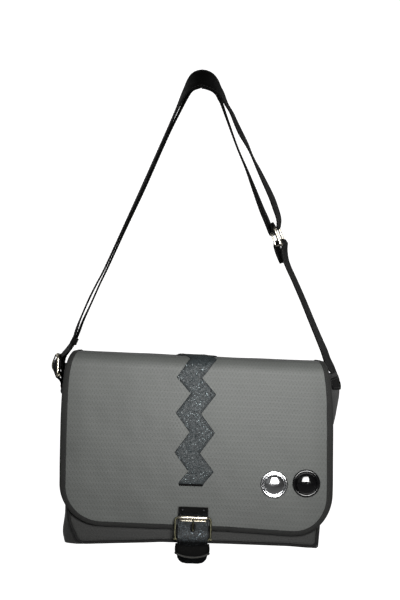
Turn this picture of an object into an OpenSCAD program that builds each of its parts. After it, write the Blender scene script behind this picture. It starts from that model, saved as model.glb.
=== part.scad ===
// Soft-sided shoulder case with a full front flap, a buckled closure strap,
// a doubled shoulder strap and foam trays for figures.
// Origin: centre of the base. Front is -Y, right is +X, up is +Z. Millimetres.

/* [Body] */
// Width of the body at its base
base_w = 332; // [326:1:336]
// Depth of the body, front to back
depth = 88; // [86:1:90]
// Thickness of the laminated body panels
panel_t = 2.5; // [2:0.5:2.5]
// Height of the back panel
back_h = 238; // [236:1:239]
// Height of the front panel
front_h = 228; // [224:1:230]
// Height of the side gussets
gusset_h = 232; // [228:1:234]
// Outward lean of the sides, per unit of height
flare = 0.06; // [0.055:0.005:0.06]

/* [Flap] */
// Width of the flap over its lower part
flap_w = 359; // [356:1:360]
// Width of the flap at its top crease
flap_top_w = 328; // [326:1:330]
// Height of the flap's lower edge above the base
flap_low = 21; // [20:0.5:21.5]
// Radius of the flap's lower corners
flap_r = 50; // [46:1:54]
// Thickness of the flap sheet
flap_t = 3; // [2.5:0.5:3]
// Width of the edge binding
bind_w = 7; // [6:0.5:8]

/* [Zigzag strip] */
// Horizontal width of the strip
zig_w = 32; // [30:1:34]
// Half of the sideways swing
zig_amp = 9.5; // [8:0.5:10]
// Height between one turn and the next
zig_step = 24.45; // [24:0.05:24.5]

/* [Studs] */
// Diameter of the two round studs
stud_d = 37; // [34:1:38]
// Height of the bright stud's centre
stud_z = 82.8; // [78:0.2:90]
// How much higher the black stud sits
stud_rise = 2.8; // [0:0.2:4]

/* [Straps and buckles] */
// Width of the closure strap
tongue_w = 39; // [38:0.5:39]
// Width of the shoulder strap
strap_w = 38; // [36:1:38]
// Thickness of one layer of strap
strap_t = 2.2; // [2:0.1:2.2]
// Height of the top of the shoulder strap
apex_z = 625; // [600:1:640]

/* [Foam trays] */
// Pockets along the width of a tray
pockets_x = 5; // [4:1:6]
// Depth of a tray pocket
pocket_deep = 68; // [50:1:70]

/* [Hidden] */
$fn = 48;

gap = 0.1;                      // clearance between neighbouring pieces
body_y = depth / 2;             // outer face of the back panel
flap_in_y = -(body_y + 6.5);    // inner face of the hanging flap
flap_out_y = flap_in_y - flap_t;
hang_top = 230;                 // top of the flap's front and back parts
flap_top_z = 245;               // underside of the flap over the mouth

grey = [0.43, 0.44, 0.43];
dark = [0.2, 0.2, 0.2];
black = [0.07, 0.07, 0.07];
glitter = [0.16, 0.19, 0.21];
gold = [0.78, 0.74, 0.6];
chrome = [0.8, 0.8, 0.82];
foam = [0.24, 0.25, 0.26];

// ---- helpers ----
// sections swept straight along Y or X
module along_y(y0, y1)
  translate([0, y1, 0]) rotate([90, 0, 0]) linear_extrude(y1 - y0) children();
module along_x(x0, x1)
  translate([x0, 0, 0]) rotate([90, 0, 90]) linear_extrude(x1 - x0) children();

// round rods from a start point, towards +X or +Y
module rod_x(start, r, h) translate(start) rotate([0, 90, 0]) cylinder(r = r, h = h);
module rod_y(start, r, h) translate(start) rotate([-90, 0, 0]) cylinder(r = r, h = h);
// children's +Z turned to the front
module to_front(x, y, z) translate([x, y, z]) rotate([90, 0, 0]) children();

// lower coordinate of a part that ends at outer, on the side -1 or 1
function start_of(side, outer, width) = side > 0 ? outer - width : -outer;
// outline made of its right half and the mirror image
function mirrored(right) =
  concat(right, [for (i = [len(right) - 1 : -1 : 0]) [-right[i].x, right[i].y]]);
function unit(v) = v / norm(v);
function normal(v) = [-v.y, v.x];
function normal_at(path, i) =
  normal(unit(path[min(i + 1, len(path) - 1)] - path[max(i - 1, 0)]));
function bowed(from, to, bow, steps) = let(side = normal(unit(to - from)))
  [for (i = [0 : steps]) let(part = i / steps)
    from + (to - from) * part + side * bow * 4 * part * (1 - part)];
function arc(centre, r, from, to, steps) =
  [for (i = [0 : steps]) let(a = from + (to - from) * i / steps) centre + r * [cos(a), sin(a)]];

// a band of the given thickness round a centre line
module band(path, thick) {
  last = len(path) - 1;
  polygon(concat([for (i = [0 : last]) path[i] + normal_at(path, i) * thick / 2],
                 [for (i = [last : -1 : 0]) path[i] - normal_at(path, i) * thick / 2]));
}
// a band of constant horizontal width
module zig_band(path) polygon([
  for (point = path) point - [zig_w / 2, 0],
  for (i = [len(path) - 1 : -1 : 0]) path[i] + [zig_w / 2, 0]]);

// ---- body of the case ----
board_t = 2.4;
lining_t = 0.8;
pipe_w = 4.6;
hem_t = 2.6;
hem_low = 196;
function edge_x(z) = base_w / 2 + flare * z;

// upright panel whose upper corners are cut back, so that the flap covers them
module wall(y0, height, top_x) {
  z0 = panel_t + gap;
  cut_z = height - 24;
  along_y(y0, y0 + panel_t)
    polygon(mirrored([[edge_x(z0), z0], [edge_x(cut_z), cut_z], [top_x, height]]));
}
module back_panel() color(dark) wall(body_y - panel_t, back_h, 161);
module front_panel() color(dark) wall(-body_y, front_h, 165);

module gusset(side) {
  y1 = body_y - panel_t - gap;
  z0 = panel_t + gap;
  low_x = edge_x(3);
  high_x = edge_x(gusset_h);
  color(dark) along_y(-y1, y1) polygon([
    [side * (low_x - panel_t), z0], [side * low_x, z0],
    [side * high_x, gusset_h], [side * (high_x - panel_t), gusset_h]]);
}
module left_gusset() gusset(-1);
module right_gusset() gusset(1);

module base_panel() color(dark)
  translate([-base_w / 2, -body_y, 0]) cube([base_w, depth, panel_t]);
module base_board() color("saddlebrown")
  translate([-base_w / 2 + 6, -body_y + 5, panel_t + gap]) cube([base_w - 12, depth - 10, board_t]);

// thin open-topped box inside the panels
module lining() {
  y1 = body_y - panel_t - 0.3;
  z0 = 5.2;
  z1 = front_h - 3;
  low_x = edge_x(z0) - panel_t - 0.5;
  high_x = edge_x(z1) - panel_t - 0.5;
  color("dimgray") difference() {
    along_y(-y1, y1) polygon(mirrored([[low_x, z0], [high_x, z1]]));
    along_y(-y1 + lining_t, y1 - lining_t)
      polygon(mirrored([[low_x - lining_t, z0 + lining_t], [high_x - lining_t, z1 + 1]]));
  }
}

// edging along the sides and the bottom of a panel
module piping(y, top) color(black) along_y(y, y + 4.5) polygon(mirrored([
  [edge_x(0), 0.2], [edge_x(top), top], [edge_x(top) - pipe_w, top], [edge_x(5) - pipe_w, 4.8]]));
module front_piping() piping(-body_y - 4.6, front_h - 25);
module back_piping() piping(body_y + gap, back_h - 25);

module flap_back_hem() color(grey)
  translate([-160, body_y + gap, hem_low]) cube([320, hem_t, hang_top - hem_low]);

// ---- foam inside ----
foam_w = 314;
foam_d = 79;
foam_z = 6.4;
foam_base_h = 12;
tray_floor = 8;
tray_h = pocket_deep + tray_floor;
tray_gap = 0.2;
pocket_pitch = (foam_w - 8) / pockets_x;
function tray_z(level) = foam_z + foam_base_h + tray_gap + level * (tray_h + tray_gap);

module foam_block(z, height)
  translate([-foam_w / 2, -foam_d / 2, z]) cube([foam_w, foam_d, height]);
// tray with two rows of pockets
module tray(z) color(foam) difference() {
  foam_block(z, tray_h);
  for (i = [0 : pockets_x - 1], y = [-36, 2.5])
    translate([-foam_w / 2 + 4 + pocket_pitch * i + 3, y, z + tray_floor])
      cube([pocket_pitch - 6, 33.5, pocket_deep + 1]);
}
module foam_base() color(foam) foam_block(foam_z, foam_base_h);
module foam_tray_lower() tray(tray_z(0));
module foam_tray_upper() tray(tray_z(1));
// arched ribbon on the upper tray
module tray_lift_ribbon() color(black) translate([0, 0, tray_z(2)])
  along_x(-6, 6) difference() {
    translate([0, 2]) circle(r = 14);
    translate([0, 2]) circle(r = 13);
    translate([-20, -20]) square([40, 20.1]);
  }

// ---- hardware shared by the closure and the side of the case ----
hinge_hole_r = 1.76;
hinge_loop_r = 3.4;     // leather loops round the hinge bar
hinge_loop_outer = 19;
hinge_loop_w = 16;

// frame round a hinge bar on the X axis, with its front towards -Y
module buckle_frame(width, top, arm) {
  for (side = [-1, 1])
    translate([start_of(side, width / 2, arm), -3.6, -3.4]) cube([arm, 5.4, top + 3.4]);
  translate([-width / 2, -3.6, top - 5.4]) cube([width, 3.6, 5.4]);
  rod_x([-width / 2 + 1, 0, 0], 1.7, width - 2);
}
// barrel on the hinge bar, and a bent pin up to the top of the frame
module prong(top) {
  difference() {
    rod_x([-2.2, 0, 0], 3.2, 4.4);
    rod_x([-3, 0, 0], hinge_hole_r, 6);
  }
  along_x(-1.45, 1.45)
    band([[-2.4, 1.2], [-4.6, top * 0.3], [-5.6, top * 0.6], [-5.25, top - 0.5]], 2.8);
}

// ---- flap ----
sheet_inset = 1.2;      // flap sheet's edge, inside the outline
bind_proud = 0.7;       // binding beyond each face of the sheet
slot_play = 0.05;       // play of the sheet in the binding
top_cut = 4.2;          // the top is trimmed at the left, beside the strap
top_left = -flap_top_w / 2 + top_cut;
top_w = flap_top_w - top_cut;
top_front = -36;
top_d = 70;
// centres of the studs, X and Z
bright_at = [105.4, stud_z];
black_at = [147.8, stud_z + stud_rise];

// outline of the hanging part, drawn inset from its edge
module flap_outline(inset) {
  low_x = flap_w / 2 - inset;
  top_x = flap_top_w / 2 - inset;
  corner = [flap_w / 2 - flap_r, flap_low + flap_r];
  polygon(mirrored(concat([[top_x, hang_top], [top_x + 9, 206], [low_x, 170]],
    arc(corner, flap_r - inset, 0, -90, 16))));
}
module flap_front_panel() color(grey) difference() {
  along_y(flap_out_y, flap_in_y) flap_outline(sheet_inset);
  for (at = [bright_at, black_at]) to_front(at.x, flap_in_y + 5, at.y) cylinder(r = 2.6, h = 20);
}
// slotted edge, open along the top
module flap_front_binding() color(dark) difference() {
  along_y(flap_out_y - bind_proud, flap_in_y + bind_proud) difference() {
    flap_outline(0);
    intersection() {
      flap_outline(bind_w);
      translate([-300, 0]) square([600, hang_top - 0.1]);
    }
    translate([-flap_top_w / 2 + 4, 200]) square([flap_top_w - 8, 60]);
  }
  along_y(flap_out_y - slot_play, flap_in_y + slot_play) flap_outline(sheet_inset - 0.1);
}
module flap_top_panel() color(grey)
  translate([top_left + sheet_inset, top_front, flap_top_z])
    cube([top_w - 2 * sheet_inset, top_d, flap_t]);
module flap_top_binding() {
  slot_inset = sheet_inset - slot_play;
  color(dark) for (x = [top_left, flap_top_w / 2 - bind_w]) difference() {
    translate([x, top_front, flap_top_z - bind_proud])
      cube([bind_w, top_d, flap_t + 2 * bind_proud]);
    translate([top_left + slot_inset, top_front - 1, flap_top_z - slot_play])
      cube([top_w - 2 * slot_inset, top_d + 2, flap_t + 2 * slot_play]);
  }
}

// ---- zigzag strip: front, top and back ----
strip_x = -1;                   // middle of the swing
zig_left = strip_x - zig_amp;
zig_right = strip_x + zig_amp;

module zigzag_strip() color(glitter) along_y(flap_out_y - 2.1, flap_out_y - gap)
  zig_band([[strip_x - 3.7, 80],
    for (i = [0 : 5]) [i % 2 == 0 ? zig_right : zig_left, 97.6 + zig_step * i],
    [3.1, hang_top]]);
module strip_top_band() color(glitter)
  translate([0, 0, flap_top_z + flap_t + gap]) linear_extrude(2.4) zig_band([
    [-0.3, top_front], [zig_left, -23], [zig_right, 1.5], [zig_left, 26], [-5.8, 32]]);
module strip_tail() {
  y0 = body_y + hem_t + 2 * gap;
  color(glitter) along_y(y0, y0 + 2) zig_band([[-1.4, 199], [zig_left, 211], [4.2, hang_top]]);
}
module strip_end_fold() color(black)
  translate([-20.6, flap_out_y - 3, 77.4]) cube([32, 2.9, 2.4]);

// ---- studs ----
// rimmed disc with a domed middle, and a stem back through the flap
module stud(at) {
  rim = stud_d / 2;
  dome_r = rim - 4.6;
  to_front(at.x, flap_out_y - gap, at.y) {
    rotate_extrude($fn = 96) polygon([
      [0, 0], [rim, 0], [rim, 1.6], [rim - 1.6, 2.6], [rim - 3.4, 2.6], [rim - 3.8, 2],
      for (i = [0 : 8]) let(part = 1 - i / 8)
        [dome_r * part, 2.4 + 2.6 * (1 - pow(part, 2))]]);
    translate([0, 0, -flap_t - 2.6]) cylinder(r = 2.5, h = flap_t + 3);
  }
}
module bright_stud() color(chrome) stud(bright_at);
module black_stud() color(black) stud(black_at);
module stud_washers() color(chrome) for (at = [bright_at, black_at])
  to_front(at.x, flap_in_y + 1.2, at.y) difference() {
    cylinder(r = 7, h = 1.1);
    translate([0, 0, -1]) cylinder(r = 2.56, h = 4);
  }

// ---- closure strap on the flap ----
hinge_y = flap_out_y - 6.5;     // hinge bar of the closure buckle
hinge_z = 8;
closure_top = 31;               // top of the buckle above its bar
tip_z = -23;                    // lower end of the tongue
tip_r = 12;
eyelet_r = 2;
eyelets_z = [-6, -14];
magnet_z = 12.2;

module closure_anchor() color(glitter)
  translate([-tongue_w / 2, flap_out_y - 3, 45]) cube([tongue_w, 2.2, 8.5]);
module anchor_rivets() color(chrome) for (x = [-15, 15])
  to_front(x, flap_out_y - 3 - gap, 49.3) rotate_extrude($fn = 32)
    polygon([[0, 0], for (a = [0 : 15 : 90]) [2.2 * cos(a), 1.2 * sin(a)]]);

// bent strap with its two lower corners rounded off
module tongue_shape() difference() {
  along_x(-tongue_w / 2, tongue_w / 2) band([
    [flap_out_y - 3, 41.6], [flap_out_y - 5, 38], [flap_out_y - 5.2, 33],
    [flap_out_y - 11.2, 15], [flap_out_y - 11.4, -10], [flap_out_y - 9.4, tip_z]], strap_t);
  translate([0, 0, tip_z + tip_r]) for (side = [-1, 1])
    along_y(flap_out_y - 30, flap_out_y) difference() {
      translate([start_of(side, tongue_w / 2 + 1, tip_r + 1), -tip_r - 2])
        square([tip_r + 1, tip_r + 2]);
      translate([side * (tongue_w / 2 - tip_r), 0]) circle(r = tip_r);
    }
}
module closure_tongue() color(glitter) difference() {
  tongue_shape();
  translate([-2.6, flap_out_y - 20, 5]) cube([5.2, 30, 28]);
  for (z = eyelets_z) to_front(0, flap_out_y + 5, z) cylinder(r = eyelet_r, h = 40);
}
module tongue_eyelets() color(gold) for (z = eyelets_z)
  to_front(0, flap_out_y - 12.6, z) difference() {
    cylinder(r = 3.6, h = 0.5);
    translate([0, 0, -1]) cylinder(r = eyelet_r, h = 4);
  }
// backing piece with two loops round the hinge bar
module closure_chape() color(glitter) difference() {
  union() {
    translate([-19, flap_out_y - 3.2, -18]) cube([38, 2.2, 38]);
    for (side = [-1, 1])
      rod_x([start_of(side, hinge_loop_outer, hinge_loop_w), hinge_y, hinge_z],
        hinge_loop_r, hinge_loop_w);
  }
  rod_x([-30, hinge_y, hinge_z], hinge_hole_r, 60);
  translate([-2.7, hinge_y - 10, hinge_z - 3.5]) cube([5.4, 13.6, 7]);
}
module magnet_cap() color(chrome) rod_y([0, flap_out_y - 0.9, magnet_z], 5.8, 7.6);
module magnet_socket() color(chrome) rod_y([0, -body_y - gap - 2.4, magnet_z], 7, 2.4);
module closure_buckle() color(gold)
  translate([0, hinge_y, hinge_z]) buckle_frame(50, closure_top, 4.2);
module closure_prong() color(gold) translate([0, hinge_y, hinge_z]) prong(closure_top);
module closure_keeper() color(black) difference() {
  translate([-23, flap_out_y - 15.8, -15]) cube([46, 17.2, 17]);
  translate([-20.4, flap_out_y - 13.8, -16]) cube([40.8, 13, 19]);
}

// ---- left side of the case ----
side_x = -edge_x(216) - 5.6;    // hinge bar of the side buckle
side_z = 217.5;
side_top = 29;                  // top of the buckle above its bar

module on_left() translate([side_x, 0, side_z]) rotate([0, 0, -90]) children();
module side_tab() color(black) difference() {
  union() {
    translate([side_x + 2.3, -19, 184]) cube([2.1, 38, 34]);
    for (side = [-1, 1])
      rod_y([side_x, start_of(side, hinge_loop_outer, hinge_loop_w), side_z],
        hinge_loop_r, hinge_loop_w);
  }
  rod_y([side_x, -30, side_z], hinge_hole_r, 60);
  translate([side_x - 4, -2.7, side_z - 3.5]) cube([7.4, 5.4, 7]);
}
module side_buckle() color(gold) on_left() buckle_frame(46.6, side_top, 4);
module side_prong() color(gold) on_left() prong(side_top);
module tab_rivets() color(gold) for (z = [190, 199], y = [-11, 11])
  translate([side_x + 2.2, y, z]) rotate([0, -90, 0]) cylinder(r = 2.4, h = 1.2);
module side_keeper() color(black)
  translate([-166.6, 0, 262]) rotate([0, 25.5, 0]) difference() {
    translate([-4.6, -21.2, -4.5]) cube([9.2, 42.4, 9]);
    translate([-3.3, -19.6, -8]) cube([6.6, 39.2, 16]);
  }

// ---- ends of the shoulder strap ----
patch_x = edge_x(gusset_h) + 0.2;
module across_strap() along_y(-strap_w / 2, strap_w / 2) children();

module strap_end_left() color(black) difference() {
  across_strap() {
    band([[-165.3, 268], [-173.2, 251.5], [side_x + 4.2, 243.5], [side_x + 3, 239],
      [side_x - 4.9, 225], [side_x - 4.9, 217], [side_x - 4.6, 209]], strap_t);
    // the second layer, folded under the first
    band([[-162.6, 266.8], [-171.2, 248.8], [-175.6, 243.6]], strap_t);
  }
  translate([side_x - 12, -2.6, side_z + 0.3]) cube([14, 5.2, 20.2]);
}
module strap_patch() color(black) translate([patch_x, -30, 209]) cube([2, 60, 21]);
module strap_end_right() color(black) across_strap()
  band([[162.7, 268], [172.4, 247.2], [177.6, 238.5],
    [patch_x + 3.4, 231], [patch_x + 3.4, 212]], strap_t);

// ---- shoulder strap: one doubled band, a slide loop, a ring and a lower strap ----
// places are X and Z
apex_at = [-5.5, apex_z - 21.6];        // centre of the bend at the top
loop_at = [101.7, 410.6];               // where the two loops hang
down = unit([0.394, -0.919]);           // along the strap there
out = normal(down);
out_angle = atan2(out.y, out.x);
slide_half = 12.3;                      // half length of the slide loop
slide_out = 1;
ring_half = 9;                          // half length of the strap ring
ring_in = 6;
ring_down = 2;
slide_bar = loop_at - down * slide_half + out * slide_out;            // top bars
ring_bar = loop_at - down * (ring_half - ring_down) - out * ring_in;
slide_bend = 3.4;                       // radii of the folds round the bars
ring_bend = 3;
lower_fold = loop_at + down * 11.6 - out * 2.2;

// folded round the slide loop, over the top and down the left
module strap_outer_layer() color(black) across_strap() band(concat(
  [[93.4, 437.5], slide_bar - out * slide_bend - down * 3],
  arc(slide_bar, slide_bend, out_angle - 180, out_angle, 8),
  [[100.6, 430.5]],
  bowed([97, 443], [24.5, 588], -3, 8),
  arc(apex_at, 20.5, 26, 154, 10),
  bowed([-32.2, 586], [-155.6, 291], -1.5, 6),
  [[-164.4, 271]]), strap_t);
// from the left end, under the outer layer and folded round the strap ring
module strap_inner_layer() color(black) across_strap() band(concat(
  [[-161.2, 270.4]],
  bowed([-152.6, 290.6], [-28.6, 584.4], 0.5, 6),
  arc(apex_at, 17.2, 156, 24, 10),
  bowed([16.2, 588], [80.6, 436], 0.8, 8),
  [ring_bar - out * ring_bend - down * 8],
  arc(ring_bar, ring_bend, out_angle - 180, out_angle + 20, 8)), strap_t);
module strap_lower() color(black) across_strap() band(concat(
  [[107, 377], [101.2, 388.5]],
  arc(lower_fold, 6.8, out_angle + 180, out_angle, 10),
  [[110.7, 389.3], [116.2, 368], [161.4, 270.8]]), strap_t);

// local +X points outwards and +Z up along the strap
module loop_place()
  translate([loop_at.x, 0, loop_at.y]) rotate([0, -atan2(down.x, -down.y), 0]) children();
// rectangular loop with round bars across and flat arms
module wire_loop(half_l, half_w, r, arm) for (side = [-1, 1]) {
  rod_y([0, -half_w, side * half_l], r, 2 * half_w);
  translate([-arm / 2, side * half_w - 1.4, -half_l - r]) cube([arm, 2.8, 2 * (half_l + r)]);
}
module slide_loop() color(gold)
  loop_place() translate([slide_out, 0, 0]) wire_loop(slide_half, 21.6, 1.7, 5.2);
// smaller loop that takes the inner layer
module strap_ring() color(gold)
  loop_place() translate([-ring_in, 0, -ring_down]) wire_loop(ring_half, 21.4, 1.3, 2.4);

back_panel();
front_panel();
left_gusset();
right_gusset();
base_panel();
base_board();
lining();
front_piping();
back_piping();
flap_back_hem();
strip_tail();
foam_base();
foam_tray_lower();
foam_tray_upper();
tray_lift_ribbon();
side_tab();
strap_patch();
tab_rivets();
magnet_socket();
strap_end_left();
strap_end_right();
flap_top_panel();
flap_top_binding();
strip_top_band();
flap_front_panel();
flap_front_binding();
zigzag_strip();
strip_end_fold();
bright_stud();
black_stud();
stud_washers();
closure_anchor();
anchor_rivets();
closure_tongue();
closure_chape();
magnet_cap();
tongue_eyelets();
closure_buckle();
closure_prong();
closure_keeper();
side_buckle();
side_prong();
strap_outer_layer();
strap_inner_layer();
strap_lower();
side_keeper();
slide_loop();
strap_ring();
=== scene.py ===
"""A flap-over shoulder bag with a zigzag glitter strip, a buckled closure and a long strap.

X runs across the bag, -Y is its front, +Z is up and the base lies near z = 0. The flap starts low
on the back, goes over the top and hangs down the front; the shoulder strap arches above.
"left" means -X. Lengths are in millimetres, except in shaders, lights and camera: metres.
"""
import math
import bpy
import bmesh
import numpy as np
from mathutils import Vector, Matrix

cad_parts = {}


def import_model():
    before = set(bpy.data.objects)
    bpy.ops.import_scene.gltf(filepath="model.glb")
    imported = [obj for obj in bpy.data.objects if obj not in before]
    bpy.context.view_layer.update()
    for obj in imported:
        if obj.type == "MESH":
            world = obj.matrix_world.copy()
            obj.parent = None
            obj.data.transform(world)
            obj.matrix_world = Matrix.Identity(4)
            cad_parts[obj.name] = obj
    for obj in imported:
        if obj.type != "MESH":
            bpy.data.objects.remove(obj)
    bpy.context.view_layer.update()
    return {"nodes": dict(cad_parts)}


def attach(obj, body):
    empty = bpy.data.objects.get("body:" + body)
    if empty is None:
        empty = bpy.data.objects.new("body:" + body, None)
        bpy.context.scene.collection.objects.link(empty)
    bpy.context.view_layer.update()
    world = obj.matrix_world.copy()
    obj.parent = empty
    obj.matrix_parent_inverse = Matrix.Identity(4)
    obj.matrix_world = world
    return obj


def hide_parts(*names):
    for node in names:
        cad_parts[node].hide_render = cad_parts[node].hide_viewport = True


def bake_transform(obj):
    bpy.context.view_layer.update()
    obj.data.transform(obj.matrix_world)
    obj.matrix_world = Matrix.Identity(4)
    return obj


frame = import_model()
MM = 0.001
PI = math.pi
EYE_Z = 323.0                 # height the camera looks along


# ------------------------------------------------------------------ small maths
def smooth(t):
    """Smoothstep of t, clipped to 0..1."""
    t = np.clip(t, 0, 1)
    return t * t * (3 - 2 * t)


def unit(v):
    v = np.asarray(v, float)
    return v / np.maximum(np.linalg.norm(v, axis=-1, keepdims=True), 1e-12)


def points(*coords):
    """Coordinates broadcast together and stacked on a last axis."""
    return np.stack(np.broadcast_arrays(*coords), -1)


def lengths(path):
    """Distance covered at each point of a path."""
    steps = np.linalg.norm(np.diff(path, axis=0), axis=1)
    return np.concatenate([[0], np.cumsum(steps)])


def ripple(a, b, seed, scale):
    """Smooth, repeatable unevenness over (a, b), about -1 to 1."""
    rng = np.random.default_rng(seed)
    total, amp, reach = 0.0, 1.0, 0.0
    for octave in range(3):
        for _ in range(3):
            angle = rng.uniform(0, 2 * PI)
            freq = (1.9 ** octave) / scale * rng.uniform(0.8, 1.2)
            phase = rng.uniform(0, 2 * PI)
            along = a * math.cos(angle) + b * math.sin(angle)
            total = total + amp * np.sin(2 * PI * freq * along + phase)
        reach += amp * 1.8
        amp *= 0.5
    return total / reach


def even(path, step):
    """The path resampled evenly; columns after the third are carried along."""
    dist = lengths(path[:, :3])
    count = max(2, int(round(dist[-1] / step)))
    at = np.linspace(0, dist[-1], count + 1)
    return np.stack([np.interp(at, dist, column) for column in path.T], 1)


def spline(stations, step):
    """Even points along a Catmull-Rom curve through the stations (any number of columns)."""
    p = np.asarray(stations, float)
    p = np.vstack([2 * p[0] - p[1], p, 2 * p[-1] - p[-2]])
    curve = []
    for a, b, c, d in zip(p, p[1:], p[2:], p[3:]):
        for t in np.linspace(0, 1, 16, endpoint=False):
            curve.append(0.5 * ((2 * b) + (-a + c) * t + (2 * a - 5 * b + 4 * c - d) * t * t
                                + (-a + 3 * b - 3 * c + d) * t ** 3))
    curve.append(p[-2])
    return even(np.array(curve), step)


def arc(centre, radius, start, end, count):
    """2D points on an arc, angles in degrees."""
    a = np.radians(np.linspace(start, end, count))
    return points(centre[0] + radius * np.cos(a), centre[1] + radius * np.sin(a))


def oval(radius, count, squash=1.0, power=2.0):
    """Closed profile; a power above 2 makes it squarer."""
    a = np.linspace(0, 2 * PI, count, endpoint=False)
    c, s = np.cos(a), np.sin(a)
    return points(radius * np.sign(c) * np.abs(c) ** (2 / power),
                  radius * squash * np.sign(s) * np.abs(s) ** (2 / power))


def rounded_rect(half, low, high, radius, count):
    """Anticlockwise rounded rectangle, with points about 4 mm apart on its straights."""
    right, left, base, top = half - radius, -half + radius, low + radius, high - radius
    corners = []
    for x, y, a in ((right, base, -90), (right, top, 0), (left, top, 90), (left, base, 180)):
        corners += arc((x, y), radius, a, a + 90, count).tolist()
    corners = np.array(corners)
    outline = []
    for a, b in zip(corners, np.roll(corners, -1, 0)):
        parts = max(1, int(np.linalg.norm(b - a) / 4))
        outline += [a + (b - a) * j / parts for j in range(parts)]
    return np.array(outline)


def square_to(v, tangent):
    """v made perpendicular to the tangent, point by point, as unit vectors."""
    return unit(v - tangent * (v * tangent).sum(1, keepdims=True))


def up_on(normal):
    """The upward direction in the plane that faces along normal."""
    return unit(np.array([0, 0, 1.0]) - normal * normal[2])


def grid_normals(grid, axis, sense):
    """Normals of a grid of points, all with the given sign along one axis."""
    normals = unit(np.cross(np.gradient(grid, axis=1), np.gradient(grid, axis=0)))
    return normals * np.sign(normals[..., axis:axis + 1]) * sense


def move(x, y, z):
    return Matrix.Translation((x * MM, y * MM, z * MM))


def rotate(degrees, axis):
    return Matrix.Rotation(math.radians(degrees), 4, axis)


# ------------------------------------------------------------------ meshes
def tidy(mesh, close=False):
    """Turns the normals outward; close also drops loose points and fills small holes."""
    bm = bmesh.new()
    bm.from_mesh(mesh)
    if close:
        loose = [v for v in bm.verts if not v.link_faces]
        holes = [e for e in bm.edges if len(e.link_faces) == 1]
        if loose:
            bmesh.ops.delete(bm, geom=loose, context="VERTS")
        if holes:
            bmesh.ops.holes_fill(bm, edges=holes, sides=6)
    bmesh.ops.recalc_face_normals(bm, faces=bm.faces)
    bm.to_mesh(mesh)
    bm.free()


def build(name, verts, faces, uvs, mats, mat_index=None, sharp=42):
    """An object from a mesh in mm; uvs holds a pair per face corner, sharp is in degrees."""
    mesh = bpy.data.meshes.new(name)
    mesh.from_pydata((np.asarray(verts, float) * MM).tolist(), [],
                     [tuple(map(int, face)) for face in faces])
    layer = mesh.uv_layers.new(name="UVMap")
    layer.data.foreach_set("uv", (np.asarray(uvs, float).reshape(-1, 2) * MM).ravel())
    for mat in mats if isinstance(mats, (list, tuple)) else [mats]:
        mesh.materials.append(mat)
    if mat_index is not None:
        mesh.polygons.foreach_set("material_index", np.asarray(mat_index, np.int32))
    mesh.polygons.foreach_set("use_smooth", np.ones(len(mesh.polygons), bool))
    tidy(mesh)
    mesh.set_sharp_from_angle(angle=math.radians(sharp))
    ob = bpy.data.objects.new(name, mesh)
    bpy.context.scene.collection.objects.link(ob)
    return ob


def place(ob, body, *nodes):
    """ob moves with a body named by a string; a blend of two bodies only fixes it where it is. It
    stands in for the CAD nodes.
    """
    if isinstance(body, str):
        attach(ob, body)
    else:
        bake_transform(ob)
    if nodes:
        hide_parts(*nodes)


def turn(ob, matrix):
    ob.data.transform(matrix)
    ob.data.update()
    return ob


def loft_data(rings, loop=False):
    """Quads between closed rings [ring][point], capped unless they loop; uvs are lengths."""
    rings = np.asarray(rings, float)
    count, around = rings.shape[:2]
    centres = rings.mean(1)
    along = lengths(np.vstack([centres, centres[:1]]))
    widest = rings[int(np.argmax(np.linalg.norm(rings - centres[:, None], axis=2).sum(1)))]
    girth = lengths(np.vstack([widest, widest[:1]]))
    i, j = np.meshgrid(np.arange(count if loop else count - 1), np.arange(around), indexing="ij")
    i, j = i.ravel(), j.ravel()
    i2, j2 = (i + 1) % count, (j + 1) % around
    quads = points(i * around + j, i2 * around + j, i2 * around + j2, i * around + j2)
    uv = points(along[i], girth[j], along[i + 1], girth[j],
                along[i + 1], girth[j + 1], along[i], girth[j + 1])
    faces, uvs = quads.tolist(), uv.reshape(-1, 2).tolist()
    if not loop:
        for row, order in ((0, 1), (count - 1, -1)):
            faces.append(list(range(row * around, row * around + around))[::order])
            spokes = rings[row] - rings[row].mean(0)
            first = unit(spokes[0])
            quarter = spokes[around // 4]
            second = unit(quarter - first * (quarter @ first))
            uvs += [[spoke @ first, spoke @ second] for spoke in spokes][::order]
    return rings.reshape(-1, 3), faces, uvs


class Part:
    """Collects several meshes into one object."""
    def __init__(self):
        self.verts, self.faces, self.uvs, self.mat_index, self.count = [], [], [], [], 0

    def add(self, verts, faces, uvs, mat=0):
        self.verts.append(np.asarray(verts, float))
        self.faces += [[i + self.count for i in face] for face in faces]
        self.uvs += list(uvs)
        self.mat_index += [mat] * len(faces)
        self.count += len(verts)
        return self

    def loft(self, rings, mat=0, loop=False):
        return self.add(*loft_data(rings, loop), mat)

    def make(self, name, mats, slot, sharp=42):
        return build(name, np.vstack(self.verts), self.faces, self.uvs, mats,
                     self.mat_index, sharp)


def loft(name, rings, mat, slot, sharp=42):
    return Part().loft(rings).make(name, mat, slot, sharp)


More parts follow.
